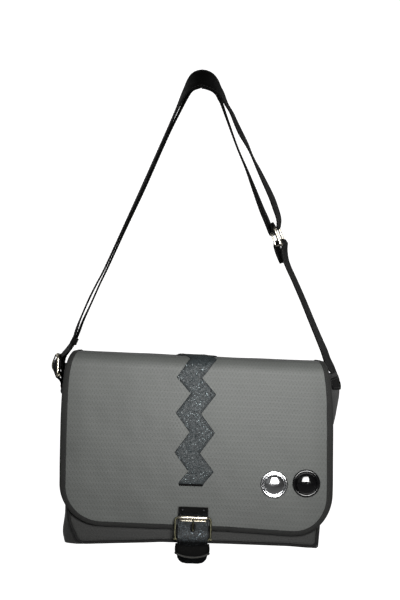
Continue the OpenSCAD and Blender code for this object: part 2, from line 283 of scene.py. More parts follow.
def sheet_data(grid, normals, thick, uv, mask=None, flat_row=None):
    """A closed sheet about a grid of points (rows, columns, xyz). mask says which cells exist.
    Open edges are rounded, except on flat_row (0 or -1), where two pieces meet."""
    rows, cols = grid.shape[:2]
    half = thick / 2
    if mask is None:
        mask = np.ones((rows - 1, cols - 1), bool)
    used = np.zeros((rows, cols), bool)
    used[:-1, :-1] |= mask
    used[1:, :-1] |= mask
    used[:-1, 1:] |= mask
    used[1:, 1:] |= mask
    index = -np.ones((rows, cols), int)
    index[used] = np.arange(used.sum())
    back = int(used.sum())            # offset from a front point to the back one
    I, J = np.nonzero(mask)
    corners = ((I, J), (I + 1, J), (I + 1, J + 1), (I, J + 1))
    quads = np.stack([index[c] for c in corners], 1)
    quad_uv = np.stack([uv[c] for c in corners], 1)
    faces = quads.tolist() + (quads[:, ::-1] + back).tolist()
    uvs = quad_uv.reshape(-1, 2).tolist() + quad_uv[:, ::-1].reshape(-1, 2).tolist()
    mat_index = [0] * (2 * len(quads))

    # open edges run round each cell in one sense: neighbour's offset, then the edge's ends
    padded = np.pad(mask, 1)
    sides = ((-1, 0, (0, 1), (0, 0)), (1, 0, (1, 0), (1, 1)),
             (0, -1, (0, 0), (1, 0)), (0, 1, (1, 1), (0, 1)))
    edges = [((i + a[0], j + a[1]), (i + b[0], j + b[1]))
             for i, j in zip(I, J) for down, right, a, b in sides
             if not padded[i + 1 + down, j + 1 + right]]
    tangents = {}
    for a, b in edges:
        for p in (a, b):
            tangents.setdefault(p, []).append(unit(grid[b] - grid[a]))

    # three points round each open edge point, pushed away from the cells it belongs to
    centres = (grid[:-1, :-1] + grid[1:, :-1] + grid[:-1, 1:] + grid[1:, 1:]) / 4
    middle, extra = {}, []
    for p, found in tangents.items():
        near = [(i, j) for i in (p[0] - 1, p[0]) for j in (p[1] - 1, p[1])
                if padded[i + 1, j + 1]]
        away = unit(grid[p] - np.mean([centres[c] for c in near], 0))
        total = np.sum(found, 0)
        if np.linalg.norm(total) > 1.6:       # not a corner, so squared up to the edge
            tangent = unit(total)
            away = unit(away - tangent * (away @ tangent))
        normal = normals[p]
        away = unit(away - normal * (away @ normal))
        middle[p] = 2 * back + len(extra)
        for a in (PI / 4, 0, -PI / 4):
            extra.append(grid[p] + away * half * 0.9 * math.cos(a) + normal * half * math.sin(a))

    flat_at = None if flat_row is None else flat_row % rows
    for a, b in edges:
        flat = a[0] == b[0] == flat_at
        rim_a, rim_b = ([index[p]] + ([] if flat else [middle[p] + s for s in range(3)])
                        + [index[p] + back] for p in (a, b))
        for s in range(len(rim_a) - 1):
            faces.append([rim_a[s], rim_b[s], rim_b[s + 1], rim_a[s + 1]])
            uvs += [uv[a], uv[b], uv[b], uv[a]]
            mat_index.append(1)
    front_back = [(grid + normals * h)[used] for h in (half, -half)]
    return np.vstack(front_back + [np.array(extra)]), faces, uvs, mat_index


def sheet(name, grid, normals, thick, uv, mat, edge_mat, slot, **options):
    verts, faces, uvs, mat_index = sheet_data(grid, normals, thick, uv, **options)
    ob = build(name, verts, faces, uvs, [mat, edge_mat], mat_index)
    tidy(ob.data, close=True)
    return ob


def frames(path, up):
    """Tangent, side and normal along a path; up is the wanted side, one or per point."""
    tangent = unit(np.gradient(path, axis=0))
    side = square_to(np.broadcast_to(np.asarray(up, float), path.shape), tangent)
    return tangent, side, unit(np.cross(tangent, side))


def sweep(path, profile, up, scale=1.0):
    """Rings of a closed profile (side, normal) along a path; scale is one, a list or pairs."""
    _, side, normal = frames(path, up)
    profile = np.asarray(profile, float)
    scale = np.asarray(scale, float)
    if scale.ndim < 2:
        scale = np.broadcast_to(scale[..., None], (len(path), 2))
    return (path[:, None] + side[:, None] * (profile[None, :, :1] * scale[:, None, :1])
            + normal[:, None] * (profile[None, :, 1:] * scale[:, None, 1:]))


def loop_sweep(path, profile, normal):
    """Rings round a closed path that lies in a plane."""
    tangent = unit(np.roll(path, -1, 0) - np.roll(path, 1, 0))
    normal = np.broadcast_to(unit(normal), path.shape)
    side = np.cross(tangent, normal)
    return path[:, None] + side[:, None] * profile[None, :, :1] + normal[:, None] * profile[None, :, 1:]


def lathe(name, profile, mat, count):
    """profile: (radius, height) from centre to centre, turned about Z at the origin."""
    angles = np.linspace(0, 2 * PI, count, endpoint=False)
    verts, rings, faces, uvs = [], [], [], []
    for radius, height in profile:
        if radius < 1e-6:
            rings.append([len(verts)] * count)
            verts.append([0, 0, height])
        else:
            rings.append(list(range(len(verts), len(verts) + count)))
            verts += [[radius * math.cos(a), radius * math.sin(a), height] for a in angles]
    for low, high in zip(rings, rings[1:]):
        for j in range(count):
            k = (j + 1) % count
            face = list(dict.fromkeys([low[j], high[j], high[k], low[k]]))
            if len(face) > 2:
                faces.append(face)
                uvs += [verts[i][:2] for i in face]
    return build(name, verts, faces, uvs, mat, sharp=30)


def stitches(name, runs, mat, slot, pitch=3.4, length=2.5, radius=0.36):
    """Threads along runs of (points, normals): each is a small capsule on the surface."""
    part = Part()
    profile = oval(1.0, 6)
    lift = np.array([-0.25, 0.12, 0.28, 0.12, -0.25]) * radius
    girth = np.array([0.45, 0.9, 1.0, 0.9, 0.45]) * radius
    for path, normals in runs:
        dist = lengths(path)
        for k in range(int(dist[-1] / pitch)):
            mid = (k + 0.5) * pitch
            at = mid + np.array([-0.5, -0.36, 0, 0.36, 0.5]) * length
            line = np.stack([np.interp(at, dist, path[:, i]) for i in range(3)], 1)
            normal = unit(np.array([np.interp(mid, dist, normals[:, i]) for i in range(3)]))
            side = unit(np.cross(normal, unit(line[-1] - line[0])))
            ring = (side * profile[:, :1] + normal * profile[:, 1:])[None]
            part.loft((line + normal * lift[:, None])[:, None] + girth[:, None, None] * ring)
    return part.make(name, mat, slot, 60)


# ------------------------------------------------------------------ materials
def tint(base, times):
    return tuple(x * times for x in base)


class Shader:
    """A short way to write node graphs; sockets and plain values can be mixed."""
    def __init__(self, name):
        self.material = bpy.data.materials.new(name)
        self.material.use_nodes = True
        self.tree = self.material.node_tree
        self.uv_socket = None

    def node(self, kind, inputs=None, **settings):
        node = self.tree.nodes.new(kind)
        for key, value in settings.items():
            setattr(node, key, value)
        for key, value in (inputs or {}).items():
            self.put(node.inputs[key], value)
        return node

    def put(self, socket, value):
        if isinstance(value, bpy.types.NodeSocket):
            self.tree.links.new(value, socket)
        elif isinstance(value, tuple) and len(value) == 3 and socket.type == "RGBA":
            socket.default_value = (*value, 1)
        else:
            socket.default_value = value

    def uv(self):
        if self.uv_socket is None:
            self.uv_socket = self.node("ShaderNodeUVMap").outputs[0]
        return self.uv_socket

    def position(self):
        return self.node("ShaderNodeTexCoord").outputs["Object"]

    def math(self, operation, a, b=0.0):
        return self.node("ShaderNodeMath", {0: a, 1: b, 2: 0.0}, operation=operation).outputs[0]

    def add(self, a, b):
        return self.math("ADD", a, b)

    def sub(self, a, b):
        return self.math("SUBTRACT", a, b)

    def mul(self, a, b):
        return self.math("MULTIPLY", a, b)

    def wave(self, value, period):
        return self.math("SINE", self.mul(value, 2 * PI / period))

    def vector_math(self, operation, inputs):
        return self.node("ShaderNodeVectorMath", inputs, operation=operation).outputs[0]

    def xyz(self, vector):
        return self.node("ShaderNodeSeparateXYZ", {0: vector}).outputs

    def stretch(self, vector, scale):
        return self.node("ShaderNodeMapping", {0: vector, "Scale": scale}).outputs[0]

    def noise(self, vector, scale, detail, rough=0.55):
        return self.node("ShaderNodeTexNoise", {"Vector": vector, "Scale": scale,
                                                "Detail": detail, "Roughness": rough}).outputs[0]

    def voronoi(self, vector, scale, feature="F1", out="Distance"):
        return self.node("ShaderNodeTexVoronoi", {"Vector": vector, "Scale": scale},
                         feature=feature).outputs[out]

    def ramp(self, value, at, to):
        """Goes between two greys or colours (to) at two positions (at)."""
        node = self.node("ShaderNodeValToRGB", {0: value})
        for stop, place_at, c in zip(node.color_ramp.elements, at, to):
            stop.position = place_at
            stop.color = (*c, 1) if isinstance(c, tuple) else (c, c, c, 1)
        return node.outputs[0]

    def shades(self, value, base, times, at=(0.3, 0.7)):
        """Varies a base colour between two multiples of it."""
        return self.ramp(value, at=at, to=[tint(base, t) for t in times])

    def mix(self, under, over, amount):
        return self.node("ShaderNodeMix", {0: amount, 6: under, 7: over},
                         data_type="RGBA").outputs[2]

    def bump(self, height, strength, dist, below=None):
        inputs = {"Strength": strength, "Distance": dist, "Height": height}
        if below is not None:
            inputs["Normal"] = below
        return self.node("ShaderNodeBump", inputs).outputs[0]

    def finish(self, **inputs):
        for key, value in inputs.items():
            self.put(self.tree.nodes["Principled BSDF"].inputs[key.replace("_", " ")], value)
        return self.material


def dots(g, across, up, pitch, row, radius):
    """Staggered rows of soft round dots, 1 at a dot's centre."""
    rows = g.math("DIVIDE", up, row)
    row_number = g.math("FLOOR", rows)
    odd = g.mul(g.math("MODULO", g.math("ABSOLUTE", row_number), 2.0), 0.5)
    cell = g.math("FRACT", g.add(g.math("DIVIDE", across, pitch), odd))
    dx = g.mul(g.sub(cell, 0.5), pitch)
    dy = g.mul(g.sub(g.math("FRACT", rows), 0.5), row)
    dist = g.math("SQRT", g.add(g.mul(dx, dx), g.mul(dy, dy)))
    return g.node("ShaderNodeMapRange",
                  {"Value": dist, "From Min": radius, "From Max": radius * 0.35,
                   "To Min": 0.0, "To Max": 1.0}, interpolation_type="SMOOTHSTEP").outputs[0]


def coated_cloth(name, base, rough=0.46):
    """Coated cloth embossed with rows of dots and fine cross ribs."""
    g = Shader(name)
    across, up = g.xyz(g.uv())[:2]
    dot = dots(g, across, up, pitch=0.0046, row=0.0038, radius=0.0012)
    rib = g.math("POWER", g.math("ABSOLUTE", g.wave(up, period=0.0152)), 10.0)
    weave = g.mul(g.wave(across, period=0.0009), g.wave(up, period=0.0009))
    big = g.noise(g.uv(), scale=9.0, detail=4.0)
    fine = g.noise(g.uv(), scale=900.0, detail=2.0)
    colour = g.shades(big, base, times=(0.86, 1.12))
    colour = g.mix(colour, tint(base, 0.5), amount=g.mul(dot, 0.42))
    colour = g.mix(colour, tint(base, 0.55), amount=g.mul(rib, 0.20))
    colour = g.mix(colour, g.ramp(fine, at=(0.3, 0.7), to=(0.02, 0.5)), amount=0.12)
    # the weave stands up; dots and ribs are pressed in
    height = g.sub(g.mul(weave, 0.12), g.add(g.mul(dot, 0.9), g.mul(rib, 0.3)))
    normal = g.bump(height, strength=0.55, dist=0.00035)
    normal = g.bump(g.noise(g.uv(), scale=30.0, detail=4.0), strength=0.12, dist=0.0012,
                    below=normal)
    return g.finish(Base_Color=colour,
                    Roughness=g.ramp(big, at=(0.2, 0.8), to=(rough - 0.06, rough + 0.08)),
                    Normal=normal, Sheen_Weight=0.12, Sheen_Roughness=0.5,
                    Specular_IOR_Level=0.42)


def tape(name, base, rough=0.7):
    """Binding tape with ribs across u."""
    g = Shader(name)
    rib = g.math("ABSOLUTE", g.wave(g.xyz(g.uv())[0], period=0.0022))
    fine = g.noise(g.uv(), scale=700.0, detail=3.0)
    big = g.noise(g.uv(), scale=14.0, detail=3.0)
    colour = g.shades(big, base, times=(0.8, 1.2))
    colour = g.mix(colour, tint(base, 0.35), amount=g.mul(g.sub(1.0, rib), 0.45))
    colour = g.mix(colour, g.ramp(fine, at=(0.35, 0.75), to=(0.0, 0.25)), amount=0.1)
    return g.finish(Base_Color=colour, Roughness=rough,
                    Normal=g.bump(g.add(rib, g.mul(fine, 0.5)), strength=0.6, dist=0.0003),
                    Sheen_Weight=0.1)


def glitter(name, base, amount, spark, darkening_heights=None):
    """Leather cloth set with small tilted flakes; darkening_heights gives the heights (m)
    between which painted shade gives way to the plain colour and, higher up, the plain colour goes to
    near black."""
    g = Shader(name)
    pos = g.position()
    flake = g.voronoi(pos, scale=1150.0, out="Color")
    lit = g.ramp(g.xyz(flake)[0], at=(1 - amount, min(1, 1 - amount + 0.12)), to=(0.0, 1.0))
    crumple = g.noise(pos, scale=160.0, detail=5.0, rough=0.65)
    vein = g.voronoi(pos, scale=210.0, feature="DISTANCE_TO_EDGE")
    patch = g.noise(pos, scale=45.0, detail=3.0)
    colour = g.shades(crumple, base, times=(0.55, 1.5))
    strong = g.mul(lit, g.ramp(patch, at=(0.35, 0.6), to=(0.25, 1.0)))
    colour = g.mix(colour, spark, amount=g.mul(strong, 0.8))
    dark = 0.0
    # painted shade at the low heights, where the strap curves back under; near black again at the high
    # ones
    if darkening_heights:
        z = g.xyz(pos)[2]
        low, low_end, high, high_end = (f * 10 for f in darkening_heights)    # heights are scaled by 10
        dark = g.math("MAXIMUM", g.ramp(g.mul(z, 10.0), at=(low, low_end), to=(0.93, 0.0)),
                      g.ramp(g.mul(z, 10.0), at=(high, high_end), to=(0.0, 0.85)))
        colour = g.mix(colour, (0.003, 0.003, 0.003), amount=dark)
    tilt = g.vector_math("SUBTRACT", {0: flake, 1: (0.5, 0.5, 0.5)})
    tilt = g.vector_math("SCALE", {0: tilt, "Scale": g.mul(lit, 0.9)})
    height = g.add(crumple, g.mul(g.math("MINIMUM", vein, 0.12), 3.0))
    rough_normal = g.bump(height, strength=0.7, dist=0.0006)
    normal = g.vector_math("NORMALIZE", {0: g.vector_math("ADD", {0: rough_normal, 1: tilt})})
    # the painted shade and the near-black top also take away the flakes' metallic shine and specular
    keep = g.sub(1.0, dark)
    return g.finish(Base_Color=colour, Roughness=g.sub(0.5, g.mul(lit, 0.28)),
                    Metallic=g.mul(g.mul(strong, 0.75), keep), Normal=normal,
                    Specular_IOR_Level=g.mul(keep, 0.5))


def leather(name, base, rough, spec=0.5):
    """Finely grained leather with a patchy finish."""
    g = Shader(name)
    pos = g.position()
    cells = g.voronoi(pos, scale=1040.0, feature="DISTANCE_TO_EDGE")
    grain = g.noise(pos, scale=364.0, detail=4.0)
    big = g.noise(pos, scale=22.0, detail=3.0)
    colour = g.shades(big, base, times=(0.7, 1.45), at=(0.3, 0.72))
    pale = tuple(min(1, x * 2.6 + 0.002) for x in base)
    colour = g.mix(colour, pale, amount=g.ramp(grain, at=(0.55, 0.8), to=(0.0, 0.35)))
    height = g.add(g.math("MINIMUM", g.mul(cells, 6.0), 1.0), g.mul(grain, 0.6))
    return g.finish(Base_Color=colour,
                    Roughness=g.ramp(big, at=(0.25, 0.75), to=(rough - 0.08, rough + 0.12)),
                    Normal=g.bump(height, strength=0.45, dist=0.00022), Specular_IOR_Level=spec)


def metal(name, base, rough, dark, scratch=1.0):
    """Metal with dull patches and fine scratches along X."""
    g = Shader(name)
    pos = g.position()
    big = g.noise(pos, scale=60.0, detail=4.0)
    fine = g.noise(pos, scale=1500.0, detail=2.0)
    scratches = g.noise(g.stretch(pos, scale=(60, 900, 900)), scale=3.0, detail=3.0)
    colour = g.mix(base, tint(base, 0.45), amount=g.ramp(big, at=(0.35, 0.62), to=(dark, 0.0)))
    dull = g.add(g.mul(g.ramp(big, at=(0.3, 0.7), to=(0.3, 0.0)), 0.5), rough)
    return g.finish(Base_Color=colour, Metallic=1.0, Roughness=dull,
                    Normal=g.bump(g.add(scratches, g.mul(fine, 0.4)),
                                  strength=0.10 * scratch, dist=0.0001))


def foam(name, base):
    g = Shader(name)
    pos = g.position()
    small = g.voronoi(pos, scale=1100.0)
    large = g.voronoi(pos, scale=420.0)
    big = g.noise(pos, scale=40.0, detail=3.0)
    colour = g.shades(g.add(g.mul(small, 0.8), g.mul(big, 0.4)), base,
                      times=(0.45, 1.25), at=(0.25, 0.75))
    return g.finish(Base_Color=colour, Roughness=0.95, Specular_IOR_Level=0.15,
                    Normal=g.bump(g.add(small, g.mul(large, 0.7)), strength=0.8, dist=0.0006))


def woven(name, base, pitch, rough, sheen=0.2):
    """Plain weave; pitch is the thread spacing in metres."""
    g = Shader(name)
    x, y, z = g.xyz(g.position())
    weave = g.mul(g.wave(g.add(x, y), pitch), g.wave(z, pitch))
    big = g.noise(g.position(), scale=25.0, detail=4.0)
    colour = g.shades(big, base, times=(0.75, 1.2))
    colour = g.mix(colour, tint(base, 0.4), amount=g.mul(g.add(weave, 1.0), 0.2))
    return g.finish(Base_Color=colour, Roughness=rough,
                    Normal=g.bump(weave, strength=0.4, dist=0.0002), Sheen_Weight=sheen)


def board(name, base):
    """Board with a grain along X."""
    g = Shader(name)
    grain = g.noise(g.stretch(g.position(), scale=(8, 220, 220)), scale=3.0, detail=5.0)
    return g.finish(Base_Color=g.shades(grain, base, times=(0.6, 1.2)), Roughness=0.85,
                    Normal=g.bump(grain, strength=0.3, dist=0.0003))


def gloss(name, base, rough=0.07):
    g = Shader(name)
    big = g.noise(g.position(), scale=55.0, detail=3.0)
    bright = tuple(x * 1.25 + 0.001 for x in base)
    colour = g.ramp(big, at=(0.3, 0.7), to=(tint(base, 0.8), bright))
    smears = g.ramp(g.noise(g.position(), scale=260.0, detail=4.0), at=(0.45, 0.8),
                    to=(rough, rough + 0.12))
    return g.finish(Base_Color=colour, Roughness=smears, Coat_Weight=0.7, Coat_Roughness=0.05,
                    Normal=g.bump(big, strength=0.05, dist=0.0004))


CLOTH = coated_cloth("coated_grey", (0.186, 0.198, 0.187))
DARK_CLOTH = coated_cloth("coated_dark", (0.047, 0.048, 0.0455), rough=0.58)
TAPE = tape("ribbed_tape", (0.026, 0.027, 0.025))
PIPING = tape("piping_black", (0.007, 0.007, 0.007), rough=0.6)
GLITTER = glitter("glitter_leather", (0.046, 0.056, 0.060), amount=0.36,
                  spark=(0.15, 0.18, 0.19))
# painted shade below 12.5 mm up, deepest below 4 mm, where the tongue curves back under; near black
# above 34 mm, fullest above 36.5 mm
DARK_GLITTER = glitter("glitter_dark", (0.030, 0.035, 0.038), amount=0.30,
                       spark=(0.30, 0.36, 0.40), darkening_heights=(0.004, 0.0125, 0.034, 0.0365))
GLITTER_EDGE = leather("cut_edge_dark", (0.022, 0.025, 0.027), rough=0.6)
STRAP = leather("strap_black", (0.0036, 0.0037, 0.0036), rough=0.66, spec=0.16)
# paler strap colour: the anchor's cut edges, and the closure keeper's lower lip, where it is a painted
# highlight
STRAP_EDGE_AND_LIP_HIGHLIGHT = leather("strap_edge_and_lip_highlight", (0.085, 0.086, 0.080), rough=0.5)
THREAD = woven("thread_dark", (0.030, 0.031, 0.030), pitch=0.0004, rough=0.6)
GREY_THREAD = woven("thread_grey", (0.075, 0.078, 0.074), pitch=0.0004, rough=0.6)
RIBBON = woven("ribbon_black", (0.02, 0.02, 0.022), pitch=0.0010, rough=0.5, sheen=0.4)
LINING = woven("lining_grey", (0.060, 0.063, 0.066), pitch=0.0005, rough=0.75, sheen=0.25)
BOARD = board("board", (0.22, 0.15, 0.09))
FOAM = foam("foam", (0.050, 0.053, 0.056))
GOLD = metal("pale_gold", (0.86, 0.80, 0.66), rough=0.17, dark=0.25)
# a darker gold, used for the front buckle's frame wire and both prongs
DARKENED_GOLD = metal("darkened_gold", (0.24, 0.23, 0.15), rough=0.32, dark=0.6)
GUNMETAL = metal("gunmetal", (0.045, 0.045, 0.047), rough=0.32, dark=0.5)
CHROME = metal("chrome", (0.84, 0.85, 0.86), rough=0.05, dark=0.06, scratch=0.3)
GLOSS_BLACK = gloss("gloss_black", (0.004, 0.004, 0.0045))

# ------------------------------------------------------------------ the flap's shape
# "run" is the distance along the flap, from its hem on the back over the top and down the front.
HEM_Z, FLAP_LOW_Z = 196.0, 21.0
REAR_Y, REAR_Z, REAR_R = 31.1, 232.0, 14.5          # centre and radius of the rear fold
FRONT_Y, FRONT_Z, FRONT_R = -36.0, 230.5, 16.0      # and of the front fold
HEM_END, TOP_START, TOP_END, FRONT_START = 36.0, 58.777, 125.877, 151.010
FLAP_END = FRONT_START + FRONT_Z - FLAP_LOW_Z
TOP_MID = (TOP_START + TOP_END) / 2
LEFT_CORNER_R, RIGHT_CORNER_R = 55.0, 50.0
FLAP_HALF = 1.25                                    # half of the flap's thickness
REAR_FOLD = ("bag", "flap_top", (0, 0.0456, 0.214), (0, 0.022, 0.2465))
FRONT_FOLD = ("flap_top", "flap_front", (0, -0.024, 0.2465), (0, -0.052, 0.214))


def run_at(z):
    """Run of height z on the front."""
    return FRONT_START + FRONT_Z - z


def section(run):
    """The plain side profile at run: y, z, and the outward normal's y and z."""
    run = np.asarray(run, float)
    zones = [run <= HEM_END, run <= TOP_START, run <= TOP_END, run <= FRONT_START]
    rear = (run - HEM_END) / REAR_R
    front = (run - TOP_END) / FRONT_R

    def pick(*values):
        return np.select(zones, values[:-1], values[-1])

    y = pick(REAR_Y + REAR_R, REAR_Y + REAR_R * np.cos(rear), REAR_Y - (run - TOP_START),
             FRONT_Y - FRONT_R * np.sin(front), FRONT_Y - FRONT_R)
    z = pick(HEM_Z + run, REAR_Z + REAR_R * np.sin(rear), REAR_Z + REAR_R,
             FRONT_Z + FRONT_R * np.cos(front), FRONT_Z - (run - FRONT_START))
    normal_y = pick(1.0, np.cos(rear), 0.0, -np.sin(front), -1.0)
    normal_z = pick(0.0, np.sin(rear), 1.0, np.cos(front), 0.0)
    return y, z, normal_y, normal_z


# side edges before their bottom corners are rounded: runs, then x
LEFT_SIDE = (
    [0, HEM_END, TOP_START, TOP_END, TOP_END + 10, TOP_END + 20]
    + [run_at(z) for z in (222, 209.5, 197, 183.5, 159, 132, 106, 80)] + [FLAP_END],
    [-161, -161, -162.2, -163.8, -167.6, -171.6,
     -174.8, -176.3, -177.4, -178.0, -178.3, -178.1, -177.8, -177.1, -176.8])
RIGHT_SIDE = (
    [0, HEM_END, TOP_START, TOP_END, TOP_END + 8, TOP_END + 18]
    + [run_at(z) for z in (224, 212, 197, 184, 157, 130, 91, 78)] + [FLAP_END],
    [161.5, 161.5, 162.5, 165.4, 167.6, 171.6,
     174.8, 176.5, 178.3, 179.4, 180.5, 181.1, 182.2, 182.4, 182.4])


def softened(at, table, reach):
    """A table looked up at a value and reach to each side of it, averaged."""
    return sum(np.interp(at + d, *table) for d in (-reach, 0, reach)) / 3


def side_x(run, side):
    """X of the flap's side edge, with its rounded bottom corner."""
    run = np.asarray(run, float)
    out = side * softened(run, LEFT_SIDE if side < 0 else RIGHT_SIDE, 4)
    radius = LEFT_CORNER_R if side < 0 else RIGHT_CORNER_R
    centre_z = FLAP_LOW_Z + radius
    z = FRONT_Z - (run - FRONT_START)
    drop = np.clip(centre_z - z, 0, radius)
    rounded = out - radius + np.sqrt(np.maximum(radius * radius - drop * drop, 0))
    return side * np.where((run > FRONT_START) & (z < centre_z), rounded, out)


def half_width(run):
    return (side_x(run, 1) - side_x(run, -1)) / 2


def centre_x(run):
    return (side_x(run, 1) + side_x(run, -1)) / 2


# lift of the bottom edge: x, then lift
LOW_EDGE = ([-180, -115, -75, -36, 46, 78, 125, 180],
            [1.4, 1.0, 0.5, 0.2, -0.6, -1.9, -3.8, -4.4])


def flap_surface(x, run):
    """The flap's mid surface: the plain profile with its swell, unevenness and tilt."""
    x, run = np.broadcast_arrays(np.asarray(x, float), np.asarray(run, float))
    y, z, normal_y, normal_z = section(run)
    front = smooth((run - TOP_END) / (FRONT_START - TOP_END + 25))
    low = smooth((run - (FLAP_END - 55)) / 55)
    top = smooth((run - HEM_END) / 22) * (1 - smooth((run - TOP_END + 6) / 30))
    down = np.clip((run - FRONT_START) / (FLAP_END - FRONT_START), 0, 1)
    # the front swells, is uneven at two scales, and falls back near its sides
    push = front * (1.7 * (1 - (x / 190) ** 2) * np.sin(PI * down)
                    + 0.75 * ripple(x, run, 3, 190) + 0.28 * ripple(x, run, 5, 60))
    push = push - front * 2.0 * np.clip((np.abs(x) - 146) / 33, 0, 1.1) ** 2
    # the bottom waves and dips in the middle
    push = push + low * (0.9 * np.sin(x / 46 + 0.6) - 1.1 * np.exp(-(x / 36) ** 2))
    # the top is hollow
    push = push - top * (1.5 * (1 - (x / 170) ** 2) * np.exp(-((run - TOP_MID) / 40) ** 2)
                         - 0.5 * ripple(x, run, 9, 150))
    y = y + normal_y * push
    z = z + normal_z * push
    tilt = np.where(run > FRONT_START, 1 - smooth((run - FRONT_START) / 150), 1.0)
    z = z + tilt * smooth((run + 4) / 60) * (-0.0125 * x + 0.9)
    z = z + low * np.interp(x, *LOW_EDGE)
    return points(x, y, z)


def flap_at(x, run):
    """Points on the flap's mid surface, and their outward normals."""
    x, run = np.asarray(x), np.asarray(run)
    step = 0.5
    normals = unit(np.cross(flap_surface(x, run - step) - flap_surface(x, run + step),
                            flap_surface(x + step, run) - flap_surface(x - step, run)))
    _, _, normal_y, normal_z = section(np.broadcast_to(run, normals.shape[:-1]))
    sense = np.sign(normals[..., 1] * normal_y + normals[..., 2] * normal_z)
    return flap_surface(x, run), normals * sense[..., None]


def flap_runs(start, end):
    """Runs of the flap's rows, closer in the folds and at the rounded corners."""
    runs = [start]
    while runs[-1] < end - 0.01:
        run = runs[-1]
        in_fold = (HEM_END - 3 < run < TOP_START + 3) or (TOP_END - 3 < run < FRONT_START + 8)
        step = 1.7 if in_fold else 3.6
        if run > run_at(FLAP_LOW_Z + LEFT_CORNER_R):
            z = FRONT_Z - (run - FRONT_START)
            part = (FLAP_LOW_Z + LEFT_CORNER_R - z) / LEFT_CORNER_R
            step = max(0.18, 2.6 * math.sqrt(max(0.0, 1 - min(part, 1) ** 2)))
        runs.append(min(end, run + step))
    return np.array(runs)


# ------------------------------------------------------------------ flap
FLAP_COLUMNS = np.concatenate([np.linspace(-1, -0.9, 8)[:-1], np.linspace(-0.9, 0.9, 97),
                               np.linspace(0.9, 1, 8)[1:]])


def flap_half(name, start, end, flat_row, fold, *nodes):
    run = flap_runs(start, end)[:, None]
    x = centre_x(run) + (half_width(run) - 1.2) * FLAP_COLUMNS[None]
    grid, normals = flap_at(x, run)
    ob = sheet(name, grid, normals, 2 * FLAP_HALF, points(x, -run), CLOTH, DARK_CLOTH,
               "shell_grey", flat_row=flat_row)
    place(ob, fold, *nodes)


flap_half("flap_rear_half", 0.0, TOP_MID, -1, REAR_FOLD, "flap_back_hem")
flap_half("flap_front_half", TOP_MID, FLAP_END, 0, FRONT_FOLD, "flap_front_panel",
          "flap_top_panel")

# ------------------------------------------------------------------ binding round the flap's edge
BINDING_W = 7.6
# (inward from the edge, out from the mid surface), outer side; the inner side mirrors it
BINDING_SIDE = [(BINDING_W, FLAP_HALF - 0.15), (BINDING_W, FLAP_HALF + 0.5),
                (BINDING_W - 0.5, FLAP_HALF + 0.75), (4.4, FLAP_HALF + 0.9),
                (1.2, FLAP_HALF + 0.8), (-0.2, FLAP_HALF + 0.4), (-0.9, 0.5)]
BINDING_PROFILE = BINDING_SIDE + [(a, -b) for a, b in BINDING_SIDE[::-1]]


def edge_path(start, end, side):
    """Points (x, run) down one side edge."""
    run = flap_runs(start, end)
    return points(centre_x(run) + side * half_width(run), run)


def edge_inward(path):
    """Inward directions in (x, run), and the binding's width at each point."""
    tangent = unit(np.gradient(path, axis=0))
    inward = points(tangent[:, 1], -tangent[:, 0])
    middle = np.array([1.5, 130.0])
    inward = inward * np.sign((inward * (middle - path)).sum(1))[:, None]
    on_side = np.interp(path[:, 1],
                        [0, TOP_END + 20, run_at(205), run_at(185), run_at(110), FLAP_END],
                        [6.4, 6.6, 7.2, 8.0, 7.8, 7.0])
    level = np.clip(np.abs(inward[:, 1]), 0, 1)
    return inward, (on_side * (1 - level) + 4.9 * level)[:, None]


def binding_rings(path):
    inward, width = edge_inward(path)
    rings = []
    for depth, lift in BINDING_PROFILE:
        at = path + inward * (depth * (width / BINDING_W if depth > 0 else 1))
        pts, normals = flap_at(at[:, 0], at[:, 1])
        rings.append(pts + normals * lift)
    return np.stack(rings, 1)


def binding_seam(path):
    inward, width = edge_inward(path)
    at = path + inward * (width - 1.7)
    pts, normals = flap_at(at[:, 0], at[:, 1])
    return pts + normals * (FLAP_HALF + 0.82), normals


rear_edges = [even(edge_path(0, TOP_MID, side), 2.0) for side in (-1, 1)]
rear_binding = Part()
for edge in rear_edges:
    rear_binding.loft(binding_rings(edge))
place(rear_binding.make("binding_rear", TAPE, "binding", 50), REAR_FOLD)

left_edge, right_edge = (edge_path(TOP_MID, FLAP_END, side) for side in (-1, 1))
bottom_edge = points(np.linspace(left_edge[-1, 0], right_edge[-1, 0], 120), FLAP_END)
front_edge = even(np.vstack([left_edge, bottom_edge[1:-1], right_edge[::-1]]), 2.0)
place(loft("binding_front", binding_rings(front_edge), TAPE, "binding", 50), FRONT_FOLD,
      "flap_front_binding", "flap_top_binding")
place(stitches("binding_stitches_front", [binding_seam(front_edge)], THREAD, "binding"),
      FRONT_FOLD)
place(stitches("binding_stitches_rear", [binding_seam(edge) for edge in rear_edges],
               THREAD, "binding"), REAR_FOLD)

# ------------------------------------------------------------------ zigzag strip
STRIP_HALF = 16.0
ZIGZAG_Z = [96.8, 120.8, 147.9, 172.4, 198.3, 219.3, 243.6]      # heights of the turns
STRIP_COLUMNS = np.linspace(-1, 1, 21)
# (run, centre x, half width), from the middle of the top down the front
FRONT_STRIP = [(TOP_MID, 5.4, STRIP_HALF), (TOP_END - 13, -11.5, 17.5),
               (run_at(ZIGZAG_Z[6]) - 0.5, 7.4, 16.6)]
FRONT_STRIP += [(run_at(ZIGZAG_Z[i]), -10.5 if i % 2 else 8.5, STRIP_HALF)
                for i in range(5, -1, -1)]
FRONT_STRIP += [(run_at(80.5), -4.7, STRIP_HALF)]
# the same, from the hem on the back up to the middle of the top
TAIL_STRIP = [(run, x, STRIP_HALF) for run, x in (
    (3.0, -1.2), (15.0, -10.5), (39.4, 8.5), (63.9, -10.5), (88.0, 8.3), (TOP_MID, 5.4))]


def strip_rows(stations):
    rows = []
    for a, b in zip(np.array(stations), np.array(stations)[1:]):
        count = max(2, int((b[0] - a[0]) / 1.9))
        rows += [a + (b - a) * t for t in np.linspace(0, 1, count, endpoint=False)]
    return np.array(rows + [np.array(stations[-1])])


